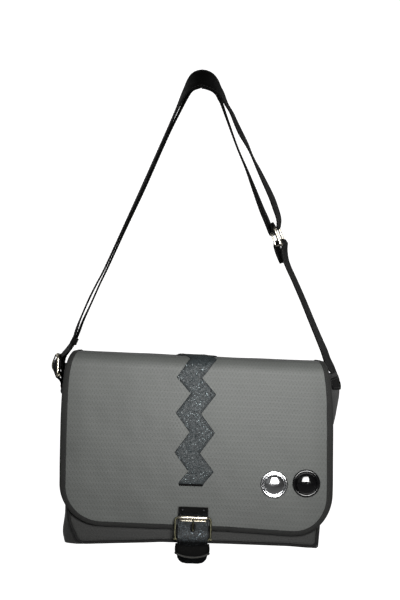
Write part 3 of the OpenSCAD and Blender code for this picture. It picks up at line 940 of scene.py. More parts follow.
def strip(name, rows, puffed, flat_row, fold, *nodes):
    """Sheet along rows of (run, centre, half width); puffed swells between its edges."""
    run = rows[:, :1]
    x = rows[:, 1:2] + rows[:, 2:3] * STRIP_COLUMNS
    grid, normals = flap_at(x, run)
    lift = 1.2
    if puffed:
        lift = 0.95 + 0.45 * (1 - np.abs(STRIP_COLUMNS[None]) ** 6)
        lift = (lift + 0.12 * ripple(x, run, 21, 14))[..., None]
    ob = sheet(name, grid + normals * (FLAP_HALF + lift), normals, 1.5, points(x, -run),
               GLITTER, GLITTER_EDGE, "glitter", flat_row=flat_row)
    place(ob, fold, *nodes)


def strip_seams(name, rows, lift, fold):
    """A line of stitches 2 mm in from each edge."""
    seams = []
    for side in (-1, 1):
        pts, normals = flap_at(rows[:, 1] + side * (rows[:, 2] - 2.0), rows[:, 0])
        seams.append((pts + normals * (FLAP_HALF + lift), normals))
    place(stitches(name, seams, THREAD, "glitter", pitch=3.0, length=2.1, radius=0.3), fold)


front_rows, tail_rows = strip_rows(FRONT_STRIP), strip_rows(TAIL_STRIP)
strip("zigzag_strip_glitter", front_rows, True, 0, FRONT_FOLD, "zigzag_strip", "strip_top_band")
strip("strip_tail_glitter", tail_rows, False, -1, REAR_FOLD, "strip_tail")
strip_seams("strip_stitches_front", front_rows, 2.0, FRONT_FOLD)
strip_seams("strip_stitches_rear", tail_rows, 1.95, REAR_FOLD)


def strip_end():
    """The turned end below the front strip, in the black strap colour as painted shadow under the
    strip's end.
    """
    path, normals = flap_at(np.linspace(-20.4, 11.2, 24), np.full(24, run_at(78.9)))
    scale = np.concatenate([[0.55], np.ones(22), [0.55]])
    rings = sweep(path + normals * (FLAP_HALF + 1.3), oval(1.25, 12, 1.15, 2.6), normals, scale)
    # the black strap colour here is painted shadow along the strip's lower end
    place(loft("strip_end_roll_painted_shadow", rings, STRAP, "strap_black"), "flap_front", "strip_end_fold")


strip_end()

# ------------------------------------------------------------------ studs
STUD_R = 18.4
DOME_R = STUD_R - 5.4
# (radius, height): a rounded rim as (inset, height), then a groove and a dome
STUD_PROFILE = [(0, -0.4)] + [(STUD_R - inset, height) for inset, height in (
    (0.6, -0.4), (0, 0.1), (0, 1.5), (0.35, 2.25), (1.1, 2.75), (2.2, 2.95), (3.3, 2.75),
    (4.0, 2.2), (4.3, 1.75), (4.7, 1.65), (5.1, 1.9))]
STUD_PROFILE += [(DOME_R * math.cos(a), 2.3 + 2.7 * math.sin(a))
                 for a in np.linspace(0.05, PI / 2 - 0.08, 14)] + [(0, 5.0)]


def stud(name, x, z, mat):
    ob = lathe(name + "_domed", STUD_PROFILE, mat, 96)
    pts, normals = flap_at(np.array([x]), np.array([run_at(z)]))
    normal = normals[0]
    spot = pts[0] + normal * FLAP_HALF
    up = up_on(normal)
    side = np.cross(up, normal)
    turn(ob, Matrix([(side[i], up[i], normal[i], spot[i] * MM) for i in range(3)]
                    + [(0, 0, 0, 1)]))
    place(ob, "flap_front", name)


stud("bright_stud", 105.4, 82.8, CHROME)
stud("black_stud", 147.8, 85.6, GLOSS_BLACK)

# ------------------------------------------------------------------ the body's shape
# x of each gusset's outermost line: heights, then x
LEFT_GUSSET = ([0, 7, 14, 21, 28, 35, 60, 120, 160, 196, 212, 224, 232],
               [-169.3, -172.6, -173.8, -173.3, -172.0, -171.4, -171.6, -174.8, -176.4,
                -177.2, -178.6, -179.4, -177.5])
RIGHT_GUSSET = ([0, 14, 60, 120, 150, 170, 190, 207, 217, 225, 232],
                [165.6, 166.2, 169.8, 174.8, 180.0, 184.6, 187.5, 189.6, 188.6, 186.0, 183.0])
# lift of the base: x, then lift
BASE_LINE = ([-170, -148, -106, -85, -63, -42, 42, 127, 148, 170],
             [-5.0, -4.6, -2.2, -1.1, 0.1, 1.5, 1.8, 1.3, 0.2, -0.8])
SHELL_T = 2.2


def edge_x(z, side, face):
    """X where the front (-1) or back (+1) panel meets a gusset."""
    z = np.asarray(z, float)
    x = 166 + 0.06 * z - 13.5 * smooth((z - 198) / 34)
    if side < 0 and face < 0:
        x = x - 12.5 * np.exp(-(z / 20.0) ** 2) - 1.0
    if side > 0 and face < 0:
        x = x - 0.6
    return side * x


def base_z(x):
    return np.interp(x, *BASE_LINE)


def base_lift(x, z):
    """The base line's lift, dying out by z = 60."""
    return base_z(x) * (1 - smooth(z / 60))


def gusset_x(side, y, z, inset=0.0):
    y, z = np.broadcast_arrays(np.asarray(y, float), np.asarray(z, float))
    front, back = edge_x(z, side, -1), edge_x(z, side, 1)
    forward = np.clip((44 - y) / 88, 0, 1)
    edge = back + (front - back) * smooth(np.clip((forward - 0.55) / 0.45, 0, 1))
    if side < 0:
        middle = softened(z, LEFT_GUSSET, 5)
        bulge = 1 - (np.abs(y) / 44) ** 3.0
    else:
        middle = softened(z, RIGHT_GUSSET, 5)
        bulge = 1 - (np.clip(np.abs(y) - 17, 0, 27) / 27) ** 1.35
    x = edge + (middle - edge) * np.clip(bulge, 0, 1)
    x = x + side * (0.5 * ripple(y, z, 31 + side, 90)) * (1 - (np.abs(y) / 44) ** 4)
    return x - side * inset


def wall_y(face, x, z, inset=0.0):
    """Outer face of the front (-1) or back (+1) panel."""
    bulge = np.clip(1 - (x / 172) ** 2, 0, 1) * np.sin(PI * np.clip(z / 228, 0, 1))
    uneven = 0.45 * ripple(x, z, 41 + face, 160) * np.sin(PI * np.clip(z / 60, 0, 0.5))
    y = 43.9 + (1.3 if face < 0 else 2.2) * bulge + uneven
    y = np.minimum(y, 45.2 if face < 0 else 47.5)
    if face > 0:
        y = np.where(z > 185, np.minimum(y, 43.9), y)
    return face * (y - inset)


def body_sheet(name, grid, normals, uv, node):
    ob = sheet(name, grid, normals, SHELL_T, uv, DARK_CLOTH, DARK_CLOTH, "shell_dark")
    place(ob, "bag", node)


def panel(node, face, top):
    columns = np.linspace(-1, 1, 85)
    share = np.concatenate([np.linspace(0, 0.06, 8)[:-1], np.linspace(0.06, 1, 60)])[:, None]
    low = 2.2
    z = low + share * (top - low)
    left, right = edge_x(z, -1, face), edge_x(z, 1, face)
    x = left + (right - left) * (columns + 1) / 2
    y = wall_y(face, x, z, SHELL_T / 2)
    z = z + base_lift(x, z)
    grid = points(x, y, z)
    body_sheet(node + "_cloth", grid, grid_normals(grid, 1, face), points(x, z), node)


def gusset(node, side):
    y = np.linspace(-42.6, 42.6, 37)[None]
    low = 2.4
    z = low + np.linspace(0, 1, 70)[:, None] * (232 - 7 * (np.abs(y) / 43) ** 2 - low)
    x = gusset_x(side, y, z, SHELL_T / 2)
    grid = points(x, y, z + base_lift(x, z))
    body_sheet(node + "_cloth", grid, grid_normals(grid, 0, side), points(y, z), node)


def base_panel():
    y, share = np.meshgrid(np.linspace(-43.2, 43.2, 25), np.linspace(-1, 1, 61), indexing="ij")
    x = np.where(share < 0, -share * gusset_x(-1, y, 3.0, 1.5), share * gusset_x(1, y, 3.0, 1.5))
    grid = points(x, y, 1.2 + base_z(x))
    normals = np.broadcast_to(np.array([0, 0, -1.0]), grid.shape)
    body_sheet("base_panel_cloth", grid, normals, points(x, y), "base_panel")


panel("front_panel", -1, 227)
panel("back_panel", 1, 236)
gusset("left_gusset", -1)
gusset("right_gusset", 1)
base_panel()


def piping(node, face, top):
    """Roll round a panel's sides and base; returns the seam that runs inside it."""
    z = np.linspace(top, 14, 70)
    left, right = (points(edge_x(z, side, face) - side * 2.1, z) for side in (-1, 1))
    left_foot, right_foot = (float(edge_x(3.0, side, face)) - side * 2.1 for side in (-1, 1))

    def corner(end, foot, inward):
        return [(end + (foot - end) * 0.55, 7.5), (foot + inward * 3.2, 3.2),
                (foot + inward * 9, 2.3)]

    outline = np.vstack([
        left, corner(left[-1, 0], left_foot, 1),
        points(np.linspace(left_foot + 16, right_foot - 16, 40), 2.2),
        corner(right[-1, 0], right_foot, -1)[::-1], right[::-1]])
    x, z = spline(outline, 3.0).T
    path = points(x, wall_y(face, x, z) + face * 1.9, z + base_lift(x, z))
    scale = np.concatenate([[0.6], np.ones(len(path) - 2), [0.6]])
    ob = loft(node + "_roll", sweep(path, oval(2.15, 12), (0, 1, 0), scale), PIPING,
              "edge_black")
    place(ob, "bag", node)
    inward = np.array([0, 0, 110.0]) - path
    inward[:, 1] = 0
    seam = path + square_to(inward, unit(np.gradient(path, axis=0))) * 3.6
    seam[:, 1] = wall_y(face, seam[:, 0], seam[:, 2]) + face * 0.15
    return seam, np.broadcast_to(np.array([0, float(face), 0]), seam.shape)


body_seams = [piping("front_piping", -1, 205), piping("back_piping", 1, 214)]
place(stitches("body_stitches", body_seams, GREY_THREAD, "edge_black", pitch=3.6, length=2.6,
               radius=0.34), "bag")

# tape over the open top edges: (up, sideways)
TOP_TAPE = [(-3.2, 1.75), (-1, 1.95), (0.8, 1.9), (1.7, 1.2), (2.0, 0), (1.7, -1.2),
            (0.8, -1.9), (-1, -1.95), (-3.2, -1.75), (-3.4, -1.2), (-3.4, 1.2)]


def top_tape(name, path):
    rings = sweep(path, TOP_TAPE, (0, 0, 1))
    place(loft(name, rings, PIPING, "edge_black", 50), "bag")


for face, z, name in ((-1, 226.6, "front_top_tape"), (1, 235.6, "back_top_tape")):
    x = np.linspace(float(edge_x(z, -1, face)) + 0.5, float(edge_x(z, 1, face)) - 0.5, 90)
    top_tape(name, points(x, wall_y(face, x, np.full(90, z), SHELL_T / 2), z))
for side, name in ((-1, "left_top_tape"), (1, "right_top_tape")):
    y = np.linspace(-42.0, 42.0, 40)
    z = 231.6 - 7 * (np.abs(y) / 43) ** 2
    top_tape(name, points(gusset_x(side, y, z, SHELL_T / 2), y, z))


def lining_ring(z, inset, height):
    """One ring of the lining, shaped by the shell at z and laid at height."""
    depth = 41.0 - inset
    y = np.linspace(-depth, depth, 26)
    right, left = (points(gusset_x(side, y, z, 3.2 + inset), y) for side in (1, -1))
    left = left[::-1]
    front = points(np.linspace(left[-1, 0], right[0, 0], 42)[1:-1], -depth)
    back = points(np.linspace(right[-1, 0], left[0, 0], 42)[1:-1], depth)
    x, y = np.vstack([right, back, left, front]).T
    return points(x, y, height)


def lining():
    """An open tub that follows the shell, outside up and then inside down."""
    heights = np.concatenate([[6.0], np.linspace(12, 224, 40)])
    rings = [lining_ring(z, 0, z) for z in heights]
    rings += [lining_ring(z, 0.8, max(z, 7.0)) for z in heights[::-1]]
    place(loft("lining_tub", np.array(rings), LINING, "lining", 50), "bag", "lining")


lining()

# ------------------------------------------------------------------ closure strap
BAR_Y, BAR_Z = -60.0, 8.0                 # hinge bar of the closure buckle
# (y, z) down the strap
TONGUE = [(-56.0, 41.8), (-57.6, 38.5), (-58.6, 34.5), (-60.4, 29), (-63.2, 23), (-65.5, 17),
          (-66.3, 9), (-65.6, -2), (-63.6, -12), (-61.2, -20), (-60.2, -23.5)]
ANCHOR = [(-55.2, 49.4), (-56.0, 47), (-56.4, 44), (-56.3, 41.2)]
CHAPE = [(-55.5, 20), (-55.6, 14), (-55.7, 4), (-55.8, -8), (-55.8, -17.5)]


def hanging_strap(name, stations, half, thick, mat, edge_mat, step, cols, crown,
                  tip=0.0, hole=None, swell=0.0):
    """A strap down through (y, z) stations, with a rounded tip, a swell near z = 14 and an
    optional hole (half width, low z, high z)."""
    line = spline(stations, step)
    dist = lengths(line)
    left = dist[-1] - dist
    width = half + swell * np.exp(-((line[:, 1] - 14) / 10) ** 2)
    rounded = width - tip + np.sqrt(np.maximum(tip * tip - (tip - left) ** 2, 0))
    width = np.where(left < tip, rounded, width)
    share = np.linspace(-1, 1, cols)
    x = width[:, None] * share[None]
    grid = points(x, line[:, :1] - crown * (1 - np.abs(share[None]) ** 2.5), line[:, 1:])
    normals = grid_normals(grid, 1, -1)
    mask = np.ones((len(line) - 1, cols - 1), bool)
    if hole is not None:
        hole_half, low, high = hole
        z = (line[:-1, 1] + line[1:, 1]) / 2
        clear = np.abs((share[:-1] + share[1:]) / 2 * half) > hole_half
        mask[(low < z) & (z < high)] = clear
    ob = sheet(name, grid, normals, thick, points(x, -dist[:, None]), mat, edge_mat, "glitter",
               mask=mask)
    return ob, grid, normals


def tongue():
    ob, grid, normals = hanging_strap(
        "closure_tongue_leather", TONGUE, half=19.1, thick=2.0, mat=DARK_GLITTER,
        edge_mat=GLITTER_EDGE, step=0.9, cols=33, crown=0.9, tip=11.0,
        hole=(2.3, 17.5, 28.5), swell=0.5)
    place(ob, "closure", "closure_tongue")
    rows = slice(2, len(grid) - 10)
    seams = [(grid[rows, j] + normals[rows, j] * 1.05, normals[rows, j]) for j in (2, -3)]
    place(stitches("closure_stitches", seams, THREAD, "glitter", pitch=3.0, length=2.1,
                   radius=0.3), "closure")
    # metal-edged holes (z, half width, half height), the tall one round the prong
    rings = Part()
    angle = np.linspace(0, 2 * PI, 28, endpoint=False)[:, None]
    middle = grid.shape[1] // 2
    for z, half_w, half_h in ((23.0, 3.1, 5.8), (-6.0, 2.3, 2.3), (-14.0, 2.3, 2.3)):
        i = int(np.argmin(np.abs(grid[:, 0, 2] - z)))
        normal = normals[i, middle]
        path = (grid[i, middle] + normal + np.cos(angle) * half_w * np.array([1.0, 0, 0])
                + np.sin(angle) * half_h * up_on(normal))
        rings.loft(loop_sweep(path, oval(0.55, 8, 0.6), normal), loop=True)
    place(rings.make("tongue_eyelet_rings", GUNMETAL, "pale_gold"), "closure", "tongue_eyelets")


def rivets(kind, profile, mat, spots, facing, body):
    """Small rivets at (x, y, z) spots; the first stands in for the CAD set."""
    for k, spot in enumerate(spots):
        ob = lathe(f"{kind}_rivet_{k + 1}", profile, mat, 24)
        turn(ob, move(*spot) @ facing)
        place(ob, body, *([f"{kind}_rivets"] if k == 0 else []))


def chape():
    """The piece behind the tongue, with two loops round the hinge bar."""
    half, gap, radius = 18.6, 3.2, 3.0
    line = spline(CHAPE, 1.5)
    grid = points(np.linspace(-half, half, 17)[None], line[:, :1], line[:, 1:])
    verts, faces, uvs, _ = sheet_data(grid, grid_normals(grid, 1, -1), 1.9, grid[..., [0, 2]])
    part = Part().add(verts, faces, uvs)
    for start, end in ((-half, -gap), (gap, half)):
        rings = []
        for x, size in ((start, 0.5), (start + 0.4, 1.0), (end - 0.4, 1.0), (end, 0.5)):
            outer, inner = (arc((BAR_Y, BAR_Z), radius + side * 0.75 * size, 42, 350, 26)
                            for side in (1, -1))
            y, z = np.vstack([outer, inner[::-1]]).T
            rings.append(points(x, y, z))
        part.loft(rings)
    place(part.make("closure_chape_leather", [DARK_GLITTER, GLITTER_EDGE], "glitter"),
          "closure", "closure_chape")


tongue()
anchor, _, _ = hanging_strap("closure_anchor_leather", ANCHOR, half=19.2, thick=2.1, mat=STRAP,
                             edge_mat=STRAP_EDGE_AND_LIP_HIGHLIGHT, step=0.7, cols=25, crown=0.4)
place(anchor, "flap_front", "closure_anchor")
rivets("anchor", [(0, -1.0), (2.0, -1.0), (2.1, 0), (1.8, 0.6), (1.1, 1.0), (0, 1.15)],
       GUNMETAL, [(x, -57.45, 45.5) for x in (-14.4, 13.6)],
       rotate(90, "X"), "flap_front")
chape()


# ------------------------------------------------------------------ buckles
# Made with the hinge bar on X through the origin and the front towards -Y.
def buckle(name, half, top, inset, frame_mat, thin_bar):
    """A rounded frame wire, a thick front bar, perhaps a thin bar below it, and the hinge."""
    part = Part()
    x, z = rounded_rect(half - 1.5, -1.6, top - 2.6, 5.0, 7).T
    part.loft(loop_sweep(points(x, -1.6, z), oval(1.5, 12, 1.15, 2.6), (0, -1, 0)), 1, True)
    share = np.linspace(-1, 1, 41)
    taper = np.clip((1 - np.abs(share) ** 7) ** 0.5, 0.22, 1)
    bars = [(half - inset, -3.2, top - 3.1, oval(2.75, 20, 0.74, 2.3))]
    if thin_bar:
        bars.append((half - inset - 2.4, -3.0, top - 7.2, oval(1.15, 14, 1.0, 2.2)))
    for reach, y, z, profile in bars:
        part.loft(sweep(points(share * reach, y, z), profile, (0, 0, 1), taper))
    hinge = points(np.linspace(-half + 1.6, half - 1.6, 12), 0, 0)
    part.loft(sweep(hinge, oval(1.65, 16), (0, 0, 1)), 1)
    for side in (-1, 1):
        arm = points(side * (half - 1.7), np.linspace(-1.8, 0.2, 6), 0)
        part.loft(sweep(arm, oval(1.6, 12), (0, 0, 1)), 1)
    return part.make(name, [GOLD, frame_mat], "pale_gold")


def prong(name, stations, width):
    """A ring round the hinge bar and a rod through (y, z) stations."""
    part = Part()
    angle = np.linspace(0, 2 * PI, 28, endpoint=False)
    ring = points(0, 2.5 * np.cos(angle), 2.5 * np.sin(angle))
    part.loft(loop_sweep(ring, oval(0.8, 12, 2.2, 2.8), (1, 0, 0)), loop=True)
    path = spline([(0, y, z) for y, z in stations], 1.0)
    along = np.linspace(0, 1, len(path))
    scale = points(width / 2 * (1.25 - 0.35 * along), 1.15 - 0.2 * along)
    scale[-3:] *= np.array([[0.9], [0.7], [0.25]])
    part.loft(sweep(path, oval(1.0, 14, 1.0, 2.5), (1, 0, 0), scale))
    return part.make(name, DARKENED_GOLD, "pale_gold")


FRONT_PRONG = [(-2.4, 1.0), (-2.9, 5), (-2.7, 10), (-2.9, 14), (-4.2, 18.5), (-5.4, 22.5),
               (-5.7, 26), (-5.4, 29.0)]
SIDE_PRONG = [(-2.4, 1.2), (-6.8, 4.6), (-9.4, 8.6), (-9.9, 13), (-9.0, 17.5), (-7.6, 21.5),
              (-6.2, 25.5), (-5.7, 27.4)]
SIDE_BAR_X, SIDE_BAR_Z = -184.56, 217.5       # hinge bar of the buckle on the left side
ON_FRONT = move(0, BAR_Y, BAR_Z)
ON_LEFT = move(SIDE_BAR_X, 0, SIDE_BAR_Z) @ rotate(-90, "Z")

place(turn(buckle("closure_buckle_frame", half=25.0, top=31.0, inset=4.1, frame_mat=DARKENED_GOLD,
                  thin_bar=True), ON_FRONT), "front_buckle", "closure_buckle")
place(turn(prong("closure_prong_rod", FRONT_PRONG, width=1.9), ON_FRONT),
      "front_prong", "closure_prong")
place(turn(buckle("side_buckle_frame", half=23.3, top=29.0, inset=3.6, frame_mat=GOLD,
                  thin_bar=False), ON_LEFT), "side_buckle", "side_buckle")
place(turn(prong("side_prong_rod", SIDE_PRONG, width=4.4), ON_LEFT), "side_prong", "side_prong")


# ------------------------------------------------------------------ keepers
def keeper(name, half, front, back, low, high, thick, bulge, lip_mat, lip, sag=0.0):
    """A leather band closed round a strap, with a rolled lip at each edge."""
    middle, tall = (front + back) / 2, high - low
    angle = np.linspace(0, 2 * PI, 72, endpoint=False)
    c, s = np.cos(angle), np.sin(angle)

    def ring(swell, inset, z):
        half_x = half + swell - inset
        half_y = (back - front) / 2 + swell * 0.7 - inset
        power = 5.0
        radius = (np.abs(c / half_x) ** power + np.abs(s / half_y) ** power) ** (-1 / power)
        x, y = radius * c, middle + radius * s
        if inset == 0:
            y = np.minimum(y, back)
        dip = sag * (1 - np.clip(np.abs(x) / half_x, 0, 1) ** 2.2)
        dip = dip * np.clip((middle - y) / half_y, 0, 1)
        return points(x, y, z - dip * (0.45 + 0.55 * (high - z) / tall))

    levels = [(z, bulge * math.sin(PI * (z - low) / tall), i in (0, 10))
              for i, z in enumerate(np.linspace(low, high, 11))]
    rings = [ring(swell - 0.35 * end, 0, z) for z, swell, end in levels]
    rings += [ring(swell + 0.3 * end, thick, z) for z, swell, end in levels[::-1]]
    part = Part().loft(rings, loop=True)
    part.loft(loop_sweep(ring(0.1, 0.25, low + 1.0), oval(lip, 12), (0, 0, 1)), 1, True)
    part.loft(loop_sweep(ring(0.1, 0.25, high - 0.7), oval(0.6, 10), (0, 0, 1)), 0, True)
    return part.make(name, [STRAP, lip_mat], "strap_black")


# the paler colour on the keeper's lower lip is a painted highlight
place(keeper("closure_keeper_band", half=22.2, front=-69.4, back=-52.6, low=-11.6, high=1.8,
             thick=1.7, bulge=0.9, lip_mat=STRAP_EDGE_AND_LIP_HIGHLIGHT, lip=1.35, sag=5.2),
      "front_keeper", "closure_keeper")
side_keeper = keeper("side_keeper_band", half=4.0, front=-21.0, back=21.0, low=-4.4, high=4.4,
                     thick=1.1, bulge=0.2, lip_mat=STRAP, lip=0.85)
place(turn(side_keeper, move(-166.2, 0, 263.0) @ rotate(25.5, "Y")),
      "side_keeper", "side_keeper")

# ------------------------------------------------------------------ shoulder strap
STRAP_HALF, STRAP_HALF_T = 19.0, 1.1
SEAM_X = 15.9
# upper side (across, height in half thicknesses), with a groove at each seam
STRAP_TOP = [(-STRAP_HALF + 0.9, 0.82), (-16.6, 0.98), (-SEAM_X, 0.78), (-15.2, 1), (-8, 1.06),
             (0, 1.1), (8, 1.06), (15.2, 1), (SEAM_X, 0.78), (16.6, 0.98),
             (STRAP_HALF - 0.9, 0.82)]
STRAP_SIDE = [(STRAP_HALF - 0.2, 0.5), (STRAP_HALF, 0), (STRAP_HALF - 0.2, -0.5)]
STRAP_UPPER = np.array(STRAP_TOP + STRAP_SIDE)
STRAP_LOWER = np.array([(x, -y) for x, y in STRAP_TOP[::-1]]
                       + [(-x, y) for x, y in STRAP_SIDE[::-1]])
STRAP_PROFILE = np.vstack([STRAP_UPPER, STRAP_LOWER]) * np.array([1, STRAP_HALF_T])
STRAP_FOOT = ("bag", "strap", (0, 0, 0.262), (0, 0, 0.292))
STRAP_SPREAD = 1.013          # the free part is spread about the eye line by this


def spread(x, z):
    return x * STRAP_SPREAD, EYE_Z + (z - EYE_Z) * STRAP_SPREAD


def hang(stations, extra_roll):
    """Spreads stations about the eye line and adds to the smaller rolls."""
    return [(*spread(x, z), roll + (extra_roll if roll < 14 else 0.0), *y)
            for x, z, roll, *y in stations]


def rolled(spots, roll):
    return [(x, z, roll) for x, z in spots]


# In the XZ plane: the loops' place on the strap, the direction down it and its normal
LOOP_AT = np.array(spread(101.7, 410.6))
LOOP_DOWN = unit(np.array([0.394, -0.919]))
LOOP_OUT = np.array([-LOOP_DOWN[1], LOOP_DOWN[0]])
LOOP_ANGLE = math.degrees(math.atan2(LOOP_OUT[1], LOOP_OUT[0]))
LOOP_ROLL = 9.0
SLIDE_HALF = 12.3
OUTER_BAR = LOOP_AT - LOOP_DOWN * SLIDE_HALF + LOOP_OUT
INNER_BAR = LOOP_AT - LOOP_DOWN * 7 - LOOP_OUT * 6
LOWER_FOLD = LOOP_AT + LOOP_DOWN * 11.6 - LOOP_OUT * 2.2

# Stations: x, z, roll in degrees (back edge outward) and, at some, y.
OUTER = rolled([OUTER_BAR - LOOP_OUT * 4.2 - LOOP_DOWN * 8,
                OUTER_BAR - LOOP_OUT * 3.6 - LOOP_DOWN * 4], LOOP_ROLL)
OUTER += rolled(arc(OUTER_BAR, 3.1, LOOP_ANGLE - 178, LOOP_ANGLE - 2, 7), LOOP_ROLL)
OUTER += hang([
    (100.9, 430.5, 9), (99.4, 437.5, 10), (96.3, 446, 11), (91.3, 459, 11), (85, 472, 10),
    (78.3, 485, 8.5), (71.6, 498, 6.5), (65.8, 509, 3.6), (60.4, 520, 3.2), (54.8, 531, 6.5),
    (47.2, 544, 9), (40.6, 557, 8), (34, 571, 6.5), (27.0, 582, 6.5), (22.4, 591, 9),
    (18.6, 597.5, 13), (14.0, 602.5, 20), (7.8, 608.8, 32), (1.2, 613.6, 40),
    (-5.6, 615.6, 42), (-12.3, 614.0, 40), (-18.2, 609.4, 31), (-24.6, 602, 18),
    (-30.0, 593.5, 9), (-38.2, 574, 4), (-48.3, 549, 3), (-59.3, 522, 3), (-81.3, 468, 3.5),
    (-104.3, 414, 1.8), (-127.3, 360, 1.2), (-136.6, 341, 0.4), (-146.7, 319, 0.1),
    (-157.0, 293, 1.2)], extra_roll=1.3)
OUTER += [
    (-164.0, 277.6, 4.6), (-168.0, 263.5, 4), (-171.6, 256, 8), (-176.0, 249.0, 10),
    (-181.2, 243.6, 8), (-184.8, 239.8, 6), (-188.4, 236.0, 8), (-190.6, 231.4, 9),
    (-190.9, 226, 9), (-189.8, 219.5, 6), (-188.4, 213.2, 2)]
INNER = [
    (-181.2, 221.3, 4), (-181.4, 229.5, 10), (-180.6, 236.5, 10), (-178.0, 243.6, 7),
    (-173.6, 250.2, 7), (-169.2, 256.6, 7), (-165.2, 263.4, 4.5), (-159.9, 277.0, 4.6)]
INNER += hang([
    (-153.2, 291, 2.2), (-141.8, 318, 0.6), (-132.4, 341, 0.6), (-124.4, 359, 1.2),
    (-101.6, 413, 1.8), (-78.6, 467, 3.5), (-56.6, 521, 3), (-45.2, 548, 3),
    (-34.6, 571, 3.5), (-26.6, 589.5, 7), (-22.2, 599.8, 17, 0.8), (-16.3, 607.2, 30, 1.4),
    (-11.0, 611.6, 39, 1.8), (-5.6, 612.9, 42, 1.9), (0.1, 611.2, 39, 1.8),
    (5.9, 606.8, 31, 1.5), (11.7, 600.7, 19, 0.9), (15.8, 594.6, 11, 0.3), (18.2, 588, 7),
    (20.8, 582, 4), (33.6, 549, 2), (44.1, 523, 1.5), (56.1, 497, 3), (67.0, 471, 7),
    (77.6, 445.5, 10), (83.9, 432, 11), (89.0, 419.5, 10)], extra_roll=1.3)
INNER += rolled(arc(INNER_BAR, 2.9, LOOP_ANGLE - 180, LOOP_ANGLE + 12, 7), LOOP_ROLL)
INNER += rolled([INNER_BAR + LOOP_OUT * 3.0 - LOOP_DOWN * 7], LOOP_ROLL)
LOWER = hang([(107.6, 375.2, 13), (105.0, 382.5, 15), (101.6, 389.6, 14)], extra_roll=0.0)
LOWER += rolled(arc(LOWER_FOLD, 5.6, LOOP_ANGLE + 180, LOOP_ANGLE, 8), 14)
LOWER += hang([
    (109.2, 394, 14), (109.6, 388, 14), (111.6, 379.0, 11), (116.2, 368, 10),
    (123.7, 353, 10), (136.0, 327, 10.5), (147.6, 301, 11), (159.2, 275.5, 12),
    (165.6, 261.5, 15), (170.2, 249.5, 15.5), (175.6, 239.5, 13.5), (181.4, 231.0, 7),
    (185.7, 224.5, 2), (187.8, 217.6, -1), (187.8, 211.2, -1.6)], extra_roll=1.6)


def strap_path(stations):
    """The path through the stations and the strap's width direction along it."""
    table = np.array([list(row) + [0.0] * (4 - len(row)) for row in stations], float)
    flat = table[:, :2]
    along = unit(np.gradient(flat, axis=0))
    out = points(along[:, 1], -along[:, 0])
    out = out * np.sign(((flat - np.array([-5.0, 420.0])) * out).sum(1))[:, None]
    out[np.linalg.norm(flat - LOOP_AT, axis=1) < 27] = LOOP_OUT
    roll = np.radians(table[:, 2])
    width = points(np.sin(roll) * out[:, 0], np.cos(roll), np.sin(roll) * out[:, 1])
    path = spline(np.hstack([table[:, [0, 3, 1]], width]), 3.0)
    return path[:, :3], unit(path[:, 3:])


def strap_piece(name, stations, *nodes):
    """One length of strap; returns its four seams, two on each face."""
    path, width = strap_path(stations)
    scale = np.ones((len(path), 2))
    scale[0] = scale[-1] = (0.985, 0.7)
    ob = loft(name, sweep(path, STRAP_PROFILE, width, scale), STRAP, "strap_black", 60)
    place(ob, STRAP_FOOT, *nodes)
    _, side, normal = frames(path, width)
    return [((path + side * x + normal * y)[2:-2], (normal * np.sign(y))[2:-2])
            for x in (-SEAM_X, SEAM_X) for y in (0.98, -0.98)]


strap_seams = strap_piece("shoulder_strap_outer", OUTER, "strap_outer_layer", "strap_end_left")
strap_seams += strap_piece("shoulder_strap_inner", INNER, "strap_inner_layer")
strap_seams += strap_piece("shoulder_strap_lower", LOWER, "strap_lower", "strap_end_right")
place(stitches("shoulder_strap_stitches", strap_seams, THREAD, "strap_black", pitch=4.2,
               length=3.0, radius=0.3), STRAP_FOOT)


def wire_loop(name, centre, half_length, half_w, profile, node):
    """A rounded rectangle of wire round the strap; centre is (x, z)."""
    roll = math.radians(LOOP_ROLL)
    down = np.array([LOOP_DOWN[0], 0, LOOP_DOWN[1]])
    out = np.array([LOOP_OUT[0], 0, LOOP_OUT[1]])
    back = np.array([0, 1.0, 0])
    width = math.cos(roll) * back + math.sin(roll) * out
    normal = math.cos(roll) * out - math.sin(roll) * back
    outline = rounded_rect(half_w, -half_length, half_length, 2.6, 6)
    path = np.array([centre[0], 0, centre[1]]) + outline[:, :1] * width - outline[:, 1:] * down
    part = Part().loft(loop_sweep(path, profile, normal), loop=True)
    place(part.make(name, GOLD, "pale_gold"), "strap_loops", node)


wire_loop("slide_loop_wire", LOOP_AT + LOOP_OUT * 0.6, SLIDE_HALF, 21.8,
          oval(1.45, 14, 1.25, 2.6), "slide_loop")
wire_loop("strap_ring_wire", LOOP_AT - LOOP_OUT * 6 + LOOP_DOWN * 2, 9.0, 21.2,
          oval(1.05, 12, 1.0, 2.4), "strap_ring")


# ------------------------------------------------------------------ left tab and right patch
def band(part, stations, start, end, thick):
    """Adds a band through (x, z) stations, from y = start to y = end."""
    path = spline([(x, 0, z) for x, z in stations], 0.9)
    path[:, 1] = (start + end) / 2
    half, quarter = (end - start) / 2, thick / 4
    right = [(0, 2.16), (half - 0.5, 2), (half - 0.1, 1), (half, 0), (half - 0.1, -1),
             (half - 0.5, -2)]
    profile = [(-half + 0.5, 2)] + right + [(0, -2.16), (-half + 0.5, -2), (-half + 0.1, -1),
                                            (-half, 0), (-half + 0.1, 1)]
    part.loft(sweep(path, np.array(profile) * np.array([1, quarter]), (0, 1, 0)))


